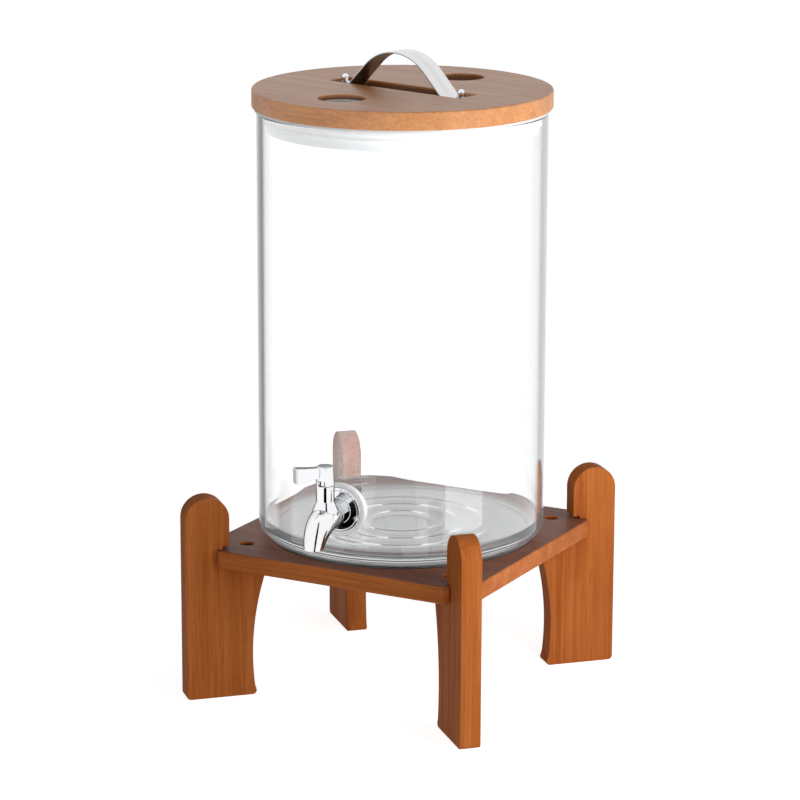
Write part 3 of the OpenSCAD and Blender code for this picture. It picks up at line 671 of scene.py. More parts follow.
def wood_grain():
    """Group: stained grain that runs along X, with fibres, streaks, patches and pores."""
    if "Stained grain" in bpy.data.node_groups:
        return bpy.data.node_groups["Stained grain"]
    tree, given, made = group_tree(
        "Stained grain",
        [("Vector", "NodeSocketVector"), ("Light", "NodeSocketColor"), ("Dark", "NodeSocketColor")],
        [("Color", "NodeSocketColor"), ("Roughness", "NodeSocketFloat"), ("Height", "NodeSocketFloat")])
    pore_stain = (0.09, 0.035, 0.014, 1)
    fibres = stretched_noise(tree, given["Vector"], (14, 520, 520), detail=4.0)
    streaks = stretched_noise(tree, given["Vector"], (3.5, 85, 85), detail=3.0, distortion=0.6)
    patches = stretched_noise(tree, given["Vector"], (8, 20, 20), detail=2.0)
    pores = ramp(tree, stretched_noise(tree, given["Vector"], (60, 1500, 1500), detail=1.0), 0.60, 0.74)
    grain = weighted(tree, (fibres, 0.4), (streaks, 0.33), (patches, 0.27))
    stained = blend(tree, ramp(tree, grain, 0.36, 0.64), given["Dark"], given["Light"])
    filled = blend(tree, arithmetic(tree, "MULTIPLY", pores, 0.35), stained, pore_stain)
    tree.links.new(filled, made["Color"])
    tree.links.new(ramp(tree, grain, 0.3, 0.7, 0.46, 0.34), made["Roughness"])
    tree.links.new(arithmetic(tree, "SUBTRACT", fibres, pores), made["Height"])
    return tree


def handling_marks():
    """Group: faint cloudy marks and fine scuffs of a surface that is wiped and touched."""
    if "Handling marks" in bpy.data.node_groups:
        return bpy.data.node_groups["Handling marks"]
    tree, given, made = group_tree(
        "Handling marks",
        [("Vector", "NodeSocketVector"), ("Clean", "NodeSocketFloat"), ("Marked", "NodeSocketFloat")],
        [("Roughness", "NodeSocketFloat"), ("Shade", "NodeSocketFloat"), ("Height", "NodeSocketFloat")])
    clouds = stretched_noise(tree, given["Vector"], (55, 55, 55), detail=4.0, distortion=0.5)
    scuffs = stretched_noise(tree, given["Vector"], (420, 420, 420), detail=2.0)
    marks = arithmetic(tree, "MULTIPLY", clouds, scuffs)
    tree.links.new(ramp(tree, marks, 0.2, 0.4, given["Clean"], given["Marked"]), made["Roughness"])
    tree.links.new(ramp(tree, clouds, 0.3, 0.7, 0.93, 1.0), made["Shade"])
    tree.links.new(clouds, made["Height"])
    return tree


def new_finish(name):
    """A new material, its tree, its Principled node and the piece's own coordinates."""
    material = bpy.data.materials.new(name)
    material.use_nodes = True
    tree = material.node_tree
    coordinates = tree.nodes.new("ShaderNodeTexCoord").outputs["Object"]
    return material, tree, tree.nodes["Principled BSDF"], coordinates


def set_surface(tree, surface, **inputs):
    """Fills in inputs of the Principled node; an underscore stands for a space."""
    fill_in(tree, surface, {key.replace("_", " "): value for key, value in inputs.items()})


def opaque(shade, level=1.0):
    """A setting's colour with full cover, made darker or lighter by a level."""
    return (*(min(1.0, level * channel) for channel in shade), 1.0)


def bumped(tree, height, strength, distance):
    """A normal that follows a height."""
    return add_node(tree, "ShaderNodeBump", {
        "Height": height, "Strength": strength, "Distance": distance}).outputs["Normal"]


def finish(name, build):
    """The material of a name, built when it is first asked for."""
    return bpy.data.materials.get(name) or build(name)


def cut_walls(tree, coordinates, radius, top):
    """Mask of the walls and floors of holes that are sunk below a top, nearer to the Z axis than a radius:
    where painted shade goes.
    """
    rim, deep = 0.3 * MM, 2 * MM
    sunk = ramp(tree, part_of(tree, coordinates, "Z"), top - deep, top - rim, 0.75, 0.0)
    _, out = flattened(tree, coordinates)
    return arithmetic(tree, "MULTIPLY", sunk, arithmetic(tree, "LESS_THAN", out, radius))


def corner_bores(tree, coordinates, out, radius, top):
    """Mask of four equal holes on the diagonals, each at a distance out from the Z axis, for painted shade.
    """
    middle = out / math.sqrt(2)
    folded = vector_math(tree, "ABSOLUTE", coordinates)
    return cut_walls(tree, vector_math(tree, "SUBTRACT", folded, (middle, middle, 0)), radius, top)


def painted_top_mask(tree, coordinates):
    """Mask of the faces that look up, where painted shade goes."""
    return ramp(tree, facing_up(tree), 0.6, 0.95, 0.0, 0.55)


def wood_finish(name, turn, light, dark, gloss, painted_shades=()):
    """Oiled wood whose grain runs along X once the piece is turned; each mask paints shade towards its
    colour.
    """
    material, tree, surface, coordinates = new_finish(name)
    turned_back = add_node(tree, "ShaderNodeMapping", {"Vector": coordinates, "Rotation": turn})
    grain = add_node(tree, "ShaderNodeGroup", {
        "Vector": turned_back.outputs[0], "Light": opaque(light), "Dark": opaque(dark)},
        node_tree=wood_grain())
    colour = grain.outputs["Color"]
    # Painted shade: each mask darkens the grain towards its colour.
    for mask, shade in painted_shades:
        colour = blend(tree, mask(tree, coordinates), colour, opaque(shade))
    set_surface(
        tree, surface, Base_Color=colour, Roughness=grain.outputs["Roughness"],
        Specular_IOR_Level=gloss,
        Normal=bumped(tree, grain.outputs["Height"], strength=0.25, distance=0.15 * MM))
    return material


def marked(tree, coordinates, clean, touched):
    """Outputs of the handling marks, with the roughness of clean and of touched places."""
    return add_node(tree, "ShaderNodeGroup", {
        "Vector": coordinates, "Clean": clean, "Marked": touched}, node_tree=handling_marks()).outputs


def marked_finish(name, colour, clean, touched, metallic=0.0):
    """A smooth finish with handling marks: the material, its tree, its surface and its marks."""
    material, tree, surface, coordinates = new_finish(name)
    marks = marked(tree, coordinates, clean, touched)
    shaded = blend(tree, marks["Shade"], opaque(colour, 0.8), opaque(colour))
    set_surface(tree, surface, Base_Color=shaded, Roughness=marks["Roughness"], Metallic=metallic)
    return material, tree, surface, marks


def chrome_finish(name):
    """Polished plating, with painted shade on its grazing reflections."""
    tap = bpy.context.scene.dispenser.tap
    material, tree, surface, _ = marked_finish(name, tap.chrome, clean=0.03, touched=0.09, metallic=1.0)
    # Painted shade: a dark specular tint darkens the plating's outlines.
    set_surface(tree, surface, Specular_Tint=opaque(tap.painted_chrome_outline))
    return material


def brass_finish(name):
    """Turned brass."""
    tap = bpy.context.scene.dispenser.tap
    return marked_finish(name, tap.brass, clean=0.16, touched=0.3, metallic=1.0)[0]


def screw_finish(name):
    """Plain bright steel of screws and washers."""
    handle = bpy.context.scene.dispenser.handle
    return marked_finish(name, handle.steel, clean=0.14, touched=0.3, metallic=1.0)[0]


def rubber_finish(name):
    """Black rubber."""
    black_rubber = (0.012, 0.012, 0.013)
    return marked_finish(name, black_rubber, clean=0.45, touched=0.65)[0]


def silicone_finish(name):
    """Milky silicone."""
    tap = bpy.context.scene.dispenser.tap
    material, tree, surface, marks = marked_finish(name, tap.silicone, clean=0.28, touched=0.45)
    set_surface(
        tree, surface, Subsurface_Weight=0.35, Subsurface_Radius=(1, 1, 1), Subsurface_Scale=1.5 * MM,
        Normal=bumped(tree, marks["Height"], strength=0.1, distance=0.2 * MM))
    return material


def plug_finish(name):
    """Moulded white plastic."""
    lid = bpy.context.scene.dispenser.lid
    material, tree, surface, marks = marked_finish(name, lid.plug_white, clean=0.3, touched=0.42)
    set_surface(tree, surface, Normal=bumped(tree, marks["Height"], strength=0.08, distance=0.2 * MM))
    return material


def brushed_finish(name):
    """Steel brushed along the strap, with painted shade and a painted brown reflection of the lid on its
    underside.
    """
    handle, lid = bpy.context.scene.dispenser.handle, bpy.context.scene.dispenser.lid
    material, tree, surface, coordinates = new_finish(name)
    along = add_node(tree, "ShaderNodeMapping", {"Vector": coordinates, "Rotation": (0, 0, -lid.turn)})
    lines = stretched_noise(tree, along.outputs[0], (6, 2600, 6), detail=4.0)
    wide_lines = stretched_noise(tree, along.outputs[0], (3, 420, 3), detail=2.0)
    brushing = weighted(tree, (lines, 0.6), (wide_lines, 0.4))
    brushed = blend(tree, ramp(tree, brushing, 0.3, 0.7), opaque(handle.steel, 0.72), opaque(handle.steel))
    # Painted shade and reflection: faces that look down go towards a dark brown.
    underneath = ramp(tree, facing_up(tree), -0.15, 0.15, 0.75, 0.0)
    set_surface(
        tree, surface, Base_Color=blend(tree, underneath, brushed, opaque(handle.painted_underside_shade)),
        Metallic=1.0, Roughness=ramp(tree, brushing, 0.3, 0.7, 0.3, 0.2),
        Normal=bumped(tree, brushing, strength=0.12, distance=0.05 * MM))
    return material


def mat_finish(name):
    """Satin metal spun in circles, with painted rings and streaks of highlight and shade."""
    jar = bpy.context.scene.dispenser.jar
    material, tree, surface, coordinates = new_finish(name)
    flat, out = flattened(tree, coordinates)
    circles = add_node(tree, "ShaderNodeTexNoise", {
        "W": out, "Scale": 2600.0, "Detail": 3.0}, noise_dimensions="1D").outputs["Fac"]
    heading = vector_math(tree, "NORMALIZE", flat)
    # Painted highlights and shade: soft streaks round the middle stand in for the sheen of spun metal.
    streaks = ramp(tree, stretched_noise(tree, heading, (1.7, 1.7, 1), detail=1.0), 0.3, 0.7)
    # Painted reflection: soft rings at the pitch of the glass base's ripples stand in for the light that the
    # ripples bend onto the mat.
    waves = arithmetic(tree, "SINE", arithmetic(tree, "MULTIPLY", out, math.tau / jar.ripple_pitch))
    fade = ramp(tree, out, jar.ripple, 3 * jar.ripple, 1.0, 0.2)
    rings = ramp(tree, arithmetic(tree, "MULTIPLY", waves, fade), -1.0, 1.0)
    shade = weighted(tree, (streaks, 0.4), (rings, 0.4), (circles, 0.2))
    # The painted highlights, the painted rings and the real fine circles make the mat darker and lighter.
    metal = blend(tree, shade, opaque(jar.mat_metal, 0.35), opaque(jar.mat_metal, 1.6))
    tangent = add_node(tree, "ShaderNodeTangent", direction_type="RADIAL", axis="Z")
    set_surface(
        tree, surface, Base_Color=metal, Metallic=1.0, Roughness=ramp(tree, circles, 0.3, 0.7, 0.42, 0.3),
        Anisotropic=0.7, Tangent=tangent.outputs[0],
        Normal=bumped(tree, circles, strength=0.2, distance=0.05 * MM))
    return material


def glass_finish(name):
    """Clear glass with faint wipe marks, tinted in its depth, with painted shade at its outlines and a
    painted glow that camera rays see.
    """
    jar = bpy.context.scene.dispenser.jar
    material, tree, surface, coordinates = new_finish(name)
    marks = marked(tree, coordinates, clean=0.0, touched=0.012)
    facing = add_node(tree, "ShaderNodeLayerWeight", {"Blend": 0.5}).outputs["Facing"]
    rays = add_node(tree, "ShaderNodeLightPath").outputs
    # Painted shade at the outlines, from how far the glass turns away, and a painted glow for camera rays
    # only.
    set_surface(
        tree, surface, Base_Color=blend(tree, ramp(tree, facing, 0.6, 1.0), WHITE, opaque(jar.painted_outline_shade)),
        Roughness=marks["Roughness"], IOR=1.5, Transmission_Weight=1.0,
        Emission_Color=blend(tree, rays["Is Camera Ray"], BLACK, opaque(jar.painted_glow_veil)), Emission_Strength=1.0)
    shadow_tint = (0.96, 0.97, 0.97, 1)
    through = add_node(tree, "ShaderNodeBsdfTransparent", {"Color": shadow_tint})
    mixed = add_node(tree, "ShaderNodeMixShader", {
        0: rays["Is Shadow Ray"], 1: surface.outputs[0], 2: through.outputs[0]})
    depth = add_node(tree, "ShaderNodeVolumeAbsorption", {
        "Color": opaque(jar.depth_tint), "Density": jar.depth_density})
    output = tree.nodes["Material Output"]
    tree.links.new(mixed.outputs[0], output.inputs["Surface"])
    tree.links.new(depth.outputs[0], output.inputs["Volume"])
    return material


def stand_wood(name, turn, gloss, painted_shades=()):
    """The stand's wood, with its grain along the piece."""
    stand = bpy.context.scene.dispenser.stand
    return finish(name, lambda name: wood_finish(
        name, turn, stand.light_stain, stand.dark_stain, gloss, painted_shades))


# Pieces


class DISPENSER_OT_stand_board(bpy.types.Operator):
    """Build the board with its cut corners, slots and counterbores"""

    bl_idname = "dispenser.stand_board"
    bl_label = "Stand Board"

    def execute(self, context):
        stand = context.scene.dispenser.stand
        diagonal = (BOARD_HIGH.x - BOARD_LOW.x) / math.sqrt(2)
        reach = diagonal - stand.corner_cut
        slot = stand.leg_thickness / 2 + stand.slot_room
        root = reach - stand.prong + stand.notch_depth - stand.slot_room
        corner = [
            (reach, -stand.corner_cut), (reach, -slot), (root, -slot),
            (root, slot), (reach, slot), (reach, stand.corner_cut)]
        outline = [
            (about_z(turn) @ Vector((*point, BOARD_LOW.z)), 0)
            for turn in sorted(LEG_TURNS.values()) for point in corner]
        board = thicken(face_inside(outline), (0, 0, BOARD_HIGH.z - BOARD_LOW.z))
        soften(board, stand.edge_round)
        screw_at = reach - stand.prong - stand.screw_inset
        seat = BOARD_HIGH.z - stand.counterbore_depth
        cutters = []
        for turn in LEG_TURNS.values():
            where = about_z(turn) @ Matrix.Translation((screw_at, 0, 0))
            cutters.append(placed(rod(stand.screw_hole / 2, BOARD_LOW.z - PAST, seat + PAST), where))
            cutters.append(placed(
                drill(stand.counterbore / 2, seat, BOARD_HIGH.z, stand.counterbore_ease), where))
        board = combined(board, "DIFFERENCE", *cutters)

        # Painted shade in the counterbores.
        def bores(tree, coordinates):
            return corner_bores(tree, coordinates, screw_at, stand.counterbore / 2 + PAST, BOARD_HIGH.z)

        # Painted shade darkens the board's top and the walls of its counterbores.
        material = stand_wood("Stand wood across", (0, 0, 0), stand.board_gloss, (
            (painted_top_mask, stand.painted_top_shade), (bores, stand.painted_bore_shade)))
        new_piece("board", board, material, "stand", "stand_wood", "stand_board")
        return {"FINISHED"}


class DISPENSER_OT_legs(bpy.types.Operator):
    """Build the four legs, each with a round lobe, a notch and a hollowed inner edge"""

    bl_idname = "dispenser.legs"
    bl_label = "Legs"

    def execute(self, context):
        stand = context.scene.dispenser.stand
        material = stand_wood("Stand wood upright", (0, RIGHT_ANGLE, 0), stand.leg_gloss)
        for node, turn in LEG_TURNS.items():
            leg = self.leg(stand)
            placed(leg, about_z(turn))
            new_piece(node + "_wood", leg, material, "stand", "stand_wood", node)
        return {"FINISHED"}

    def leg(self, stand):
        """One leg on the X axis."""
        lobe_in = (BOARD_HIGH.x - BOARD_LOW.x) / math.sqrt(2) - stand.corner_cut - stand.prong
        lobe_out = lobe_in + stand.lobe_width
        lobe_round = FULL_ROUND * stand.lobe_width / 2
        notch_top = BOARD_HIGH.z + stand.notch_room
        hollow_at = lobe_out - stand.waist - stand.hollow

        def inner(z):
            return hollow_at + math.sqrt(stand.hollow ** 2 - (z - stand.waist_height) ** 2)

        side = -stand.leg_thickness / 2
        bm = bmesh.new()
        corners = [
            (lobe_out, 0, stand.foot_round),
            (lobe_out, LEG_HIGH.z, lobe_round),
            (lobe_in, LEG_HIGH.z, lobe_round),
            (lobe_in, notch_top, 0),
            (lobe_in + stand.notch_depth, notch_top, 0),
            (lobe_in + stand.notch_depth, BOARD_LOW.z, 0),
            (inner(BOARD_LOW.z), BOARD_LOW.z, 0),
            (inner(0), 0, stand.foot_round)]
        verts = chain(bm, [((x, side, z), radius) for x, z, radius in corners], closed=True, segments=14)
        shoulder = verts[-2]
        hollow = next(
            edge for edge in shoulder.link_edges if edge.other_vert(shoulder).co.z < BOARD_LOW.z - PAST)
        for vert in bmesh.ops.subdivide_edges(bm, edges=[hollow], cuts=20)["geom_inner"]:
            vert.co.x = inner(vert.co.z)
        bmesh.ops.contextual_create(bm, geom=bm.edges[:])
        return soften(thicken(bm, (0, stand.leg_thickness, 0)), stand.edge_round)


class DISPENSER_OT_jar(bpy.types.Operator):
    """Build the glass jar with its rippled base, and the mat under it"""

    bl_idname = "dispenser.jar"
    bl_label = "Jar"

    def execute(self, context):
        jar, tap = context.scene.dispenser.jar, context.scene.dispenser.tap
        outer, foot, rim = jar.diameter / 2, JAR_LOW.z, JAR_HIGH.z
        inner, floor = outer - jar.wall, JAR_LOW.z + jar.base
        lip = FULL_ROUND * jar.wall / 2
        ripples = []
        for number in (2, 1, 0):
            radius = jar.ripple + number * jar.ripple_pitch
            ripples += [
                (radius + jar.ripple_width / 2, floor, 0),
                (radius, floor + 2 * jar.ripple_height, jar.ripple_ease * jar.ripple_round),
                (radius - jar.ripple_width / 2, floor, 0)]
        below, above = NECK.z - tap.gasket / 2, NECK.z + tap.gasket / 2
        glass = turned([
            (0, foot, 0), (outer, foot, jar.corner), (outer, below, 0), (outer, above, 0), (outer, rim, lip),
            (inner, rim, lip), (inner, above, 0), (inner, below, 0), (inner, floor, jar.inner_corner),
            *ripples, (0, floor, 0)], steps=JAR_STEPS, segments=10)
        hole = placed(rod(jar.hole / 2, inner - tap.gasket / 2, outer + PAST), TAP_PLACE @ LAID_OUT)
        glass = combined(glass, "DIFFERENCE", hole)
        new_piece("jar", glass, finish("Clear glass", glass_finish), "jar", "glass", "glass_jar")
        low, high, mat_r = MAT_LOW.z, MAT_HIGH.z - jar.mat_gap, jar.mat_diameter / 2
        mat = turned([(0, low, 0), (mat_r, low, jar.mat_edge), (mat_r, high, jar.mat_edge), (0, high, 0)])
        new_piece("mat", mat, finish("Brushed mat", mat_finish), "stand", "mat", "base_mat")
        return {"FINISHED"}


class DISPENSER_OT_tap_body(bpy.types.Operator):
    """Build the tap's threaded shank, flange, drooping spout and neck"""

    bl_idname = "dispenser.tap_body"
    bl_label = "Tap Body"

    def execute(self, context):
        tap = context.scene.dispenser.tap
        body = combined(self.flange(tap), "UNION", self.spout(tap), self.neck(tap), self.tab(tap))
        plug_hole = placed(
            rod(tap.plug_hole / 2, -tap.plug_hole, tap.neck_height + tap.tab_height + PAST), AT_NECK)
        shank_bore = placed(rod(tap.bore / 2, tap.shank_end - PAST, NECK_AT), LAID_OUT)
        body = combined(body, "DIFFERENCE", plug_hole, shank_bore, self.bore(tap))
        placed(body, TAP_PLACE)
        chrome = finish("Polished chrome", chrome_finish)
        new_piece("tap_chrome", body, chrome, "jar", "tap_chrome", "tap_body")
        return {"FINISHED"}

    def flange(self, tap):
        """Threaded shank and flange with a raised rim, turned about the tap's axis."""
        back, front = tap.flange_at, tap.flange_at + tap.flange_thickness
        face, core = front - tap.dish, front + PAST
        shank, rim, barrel = tap.shank / 2, tap.flange / 2, tap.barrel / 2
        rim_inner = rim - tap.rim_width
        core_inset = 0.2 * MM
        threads = []
        turns = int((tap.nut_at - tap.shank_end) / tap.thread_pitch)
        for number in range(turns):
            along = tap.shank_end + number * tap.thread_pitch
            threads += [(shank - tap.thread_depth, along, 0), (shank, along + tap.thread_pitch / 2, 0)]
        flange = turned([
            (0, tap.shank_end, 0), *threads, (shank, tap.nut_at, 0), (shank, back, 0),
            (rim, back, tap.edge_round), (rim, front, tap.rim_round), (rim_inner, front, tap.fine_round),
            (rim_inner - tap.rim_slope, face, tap.foot_round), (barrel, face, tap.edge_round),
            (barrel - core_inset, core, 0), (0, core, 0)])
        return placed(flange, LAID_OUT)

    def stations(self, tap, start_angle=0.0, steps=28):
        """Placings along the bend: distance out, height and angle."""
        sweep = math.acos(1 - (tap.outlet_drop + tap.outlet / 4) / tap.bend) + tap.outlet_past
        bend_at = tap.flange_at + tap.bend_start
        for step in range(steps + 1):
            angle = start_angle + (sweep - start_angle) * step / steps
            yield bend_at + tap.bend * math.sin(angle), tap.bend * (math.cos(angle) - 1), angle

    def station(self, out, height, angle, diameter):
        """The placing of a unit circle across the spout."""
        return (
            Matrix.Translation((0, -out, height)) @ Matrix.Rotation(RIGHT_ANGLE + angle, 4, "X")
            @ Matrix.Scale(diameter / 2, 4))

    def neck_angle(self, tap):
        """Angle of the bend under the neck's axis."""
        return math.asin((NECK_AT - tap.flange_at - tap.bend_start) / tap.bend)

    def width(self, tap, out, angle):
        """Diameter of the spout, which swells under the neck and draws in to the outlet."""
        def ease(t):
            t = min(1, t)
            return t * t * (3 - 2 * t)

        if out < NECK_AT:
            swollen = ease((out - tap.flange_at) / (NECK_AT - tap.flange_at))
            return tap.barrel + (tap.body - tap.barrel) * swollen
        outlet_angle = math.acos(1 - tap.outlet_drop / tap.bend)
        neck_angle = self.neck_angle(tap)
        drawn_in = min(1, (angle - neck_angle) / (outlet_angle - neck_angle)) ** 2
        return tap.body + (tap.outlet - tap.body) * drawn_in

    def spout(self, tap):
        """Barrel and spout, cut level at the outlet."""
        start, steps = tap.flange_at + tap.flange_thickness / 2, 6
        barrel_run = tap.flange_at + tap.bend_start - start
        barrel = [(start + barrel_run * step / steps, 0, 0) for step in range(steps)]
        path = [*barrel, *self.stations(tap)]
        bm = bmesh.new()
        bmesh.ops.create_circle(bm, cap_ends=True, segments=SMALL_STEPS, radius=1)
        swept(bm, [self.station(*stop, self.width(tap, stop[0], stop[2])) for stop in path])
        bmesh.ops.bisect_plane(
            bm, geom=bm.verts[:] + bm.edges[:] + bm.faces[:], plane_co=(0, 0, -tap.outlet_drop),
            plane_no=(0, 0, -1), clear_outer=True)
        bmesh.ops.contextual_create(bm, geom=[edge for edge in bm.edges if edge.is_boundary])
        level = -tap.outlet_drop + WELD
        return soften(
            close(bm), tap.edge_round, chosen=lambda edge: all(v.co.z < level for v in edge.verts))

    def bore(self, tap):
        """Water way from the valve plug to the outlet."""
        bm = bmesh.new()
        bmesh.ops.create_circle(bm, cap_ends=True, segments=48, radius=1)
        return swept(bm, [
            self.station(*stop, tap.bore) for stop in self.stations(tap, self.neck_angle(tap), steps=16)])

    def neck(self, tap):
        """Neck on a boss."""
        radius, boss = tap.neck / 2, tap.boss / 2
        neck = turned([
            (0, 0, 0), (boss, 0, 0), (boss, tap.boss_height, tap.boss_round),
            (radius, tap.boss_top, tap.boss_round), (radius, tap.neck_height, tap.fine_round),
            (0, tap.neck_height, 0)])
        return placed(neck, AT_NECK)

    def tab(self, tap):
        """Stop tab on the neck's rim, between the ends of the lever's travel."""
        tab = sector(
            tap.plug_hole / 2 - tap.tab_overlap, tap.neck / 2 - tap.tab_inset,
            tap.neck_height - PAST, tap.neck_height + tap.tab_height, tap.tab_angle, steps=12)
        return placed(tab, AT_NECK @ about_z(STRAIGHT_OUT - tap.travel / 2 - tap.tab_angle / 2))


class DISPENSER_OT_tap_fixings(bpy.types.Operator):
    """Build the outer gasket and the nut, and finish the inner gasket and valve"""

    bl_idname = "dispenser.tap_fixings"
    bl_label = "Tap Fixings"

    def execute(self, context):
        tap, jar = context.scene.dispenser.tap, context.scene.dispenser.jar
        silicone = finish("White silicone", silicone_finish)
        hole, rim, glass = tap.shank / 2 + tap.gasket_room, tap.gasket / 2, jar.diameter / 2
        steps = 8
        back = [(hole + (rim - hole) * step / steps, glass, 0) for step in range(steps + 1)]
        gasket = turned(
            [*back, (rim, tap.flange_at, tap.edge_round), (hole, tap.flange_at, 0)], closed=True)
        placed(gasket, LAID_OUT)
        for vert in gasket.verts:
            if abs(vert.co.y + glass) < WELD:
                vert.co.y = -math.sqrt(glass ** 2 - vert.co.x ** 2)
        placed(gasket, TAP_PLACE)
        new_piece("outer_gasket", gasket, silicone, "jar", "white_silicone", "tap_outer_gasket")
        low, high = tap.nut_at - tap.nut_thickness, tap.nut_at
        flats, corner = tap.nut_flats / 2, hexagon_corner(tap.nut_flats) + WELD
        drop = corner - flats
        easing = turned([
            (0, low, 0), (flats, low, 0), (corner, low + drop / 2, 0), (corner, high, 0), (0, high, 0)])
        nut = combined(prism(tap.nut_flats, low, high), "INTERSECT", easing)
        nut = combined(nut, "DIFFERENCE", rod(tap.shank / 2 + tap.nut_room, low - PAST, high + PAST))
        placed(nut, TAP_PLACE @ LAID_OUT)
        chrome = finish("Polished chrome", chrome_finish)
        new_piece("shank_nut", nut, chrome, "jar", "tap_chrome", "tap_nut")
        refinish(silicone, "tap_inner_gasket")
        refinish(finish("Turned brass", brass_finish), "tap_valve_plug")
        refinish(finish("Seal rubber", rubber_finish), "tap_o_rings")
        steel = finish("Bright steel", screw_finish)
        refinish(steel, "tap_retaining_ring", "leg_screws", "handle_screws")
        return {"FINISHED"}


class DISPENSER_OT_tap_lever(bpy.types.Operator):
    """Build the hub with its flared lever"""

    bl_idname = "dispenser.tap_lever"
    bl_label = "Tap Lever"

    def execute(self, context):
        tap = context.scene.dispenser.tap
        foot = tap.neck_height + tap.hub_gap
        top = foot + tap.hub_height
        hub = turned([
            (0, foot, 0), (tap.hub / 2, foot, tap.foot_round), (tap.hub_top / 2, top, tap.hub_round),
            (0, top, 0)])
        lever = combined(hub, "UNION", self.paddle(tap, top))
        lever = combined(lever, "DIFFERENCE", self.stop_cut(tap, foot))
        placed(lever, TAP_PLACE @ AT_NECK @ about_z(-tap.rest))
        chrome = finish("Polished chrome", chrome_finish)
        new_piece("lever", lever, chrome, "lever", "tap_chrome", "tap_lever")
        return {"FINISHED"}

    def paddle(self, tap, top):
        """Lever that flares from the hub out to its end."""
        edge = tap.lever_edge / tap.lever_end_height
        bm = face_inside([((x / 2, y / 2, 0), edge) for x, y in SQUARE])
        run = tap.lever_reach - tap.lever_root
        stops, steps = [], 12
        for step in range(steps + 1):
            t = step / steps
            flare = t * t
            width = tap.lever_root_width + (tap.lever_end_width - tap.lever_root_width) * flare
            height = tap.lever_root_height + (tap.lever_end_height - tap.lever_root_height) * flare
            upper = top - tap.lever_root_drop + (tap.lever_root_drop + tap.lever_rise) * flare
            stops.append(
                Matrix.Translation((0, -tap.lever_root - run * t, upper - height / 2))
                @ LAID_OUT @ Matrix.Diagonal((width, height, 1, 1)))
        swept(bm, stops)
        end = -tap.lever_reach + WELD
        return soften(
            bm, tap.lever_end_edge, segments=4, chosen=lambda edge: all(v.co.y < end for v in edge.verts))

    def stop_cut(self, tap, foot):
        """Sector cut from the foot of the hub, in which the stop tab runs."""
        angle = tap.tab_angle + tap.travel + tap.tab_room
        cut = sector(
            tap.plug_hole / 2 - tap.tab_cut_overlap, tap.hub,
            foot - PAST, foot + tap.tab_height + tap.hub_gap, angle, steps=36)
        return placed(cut, about_z(STRAIGHT_OUT - angle / 2))


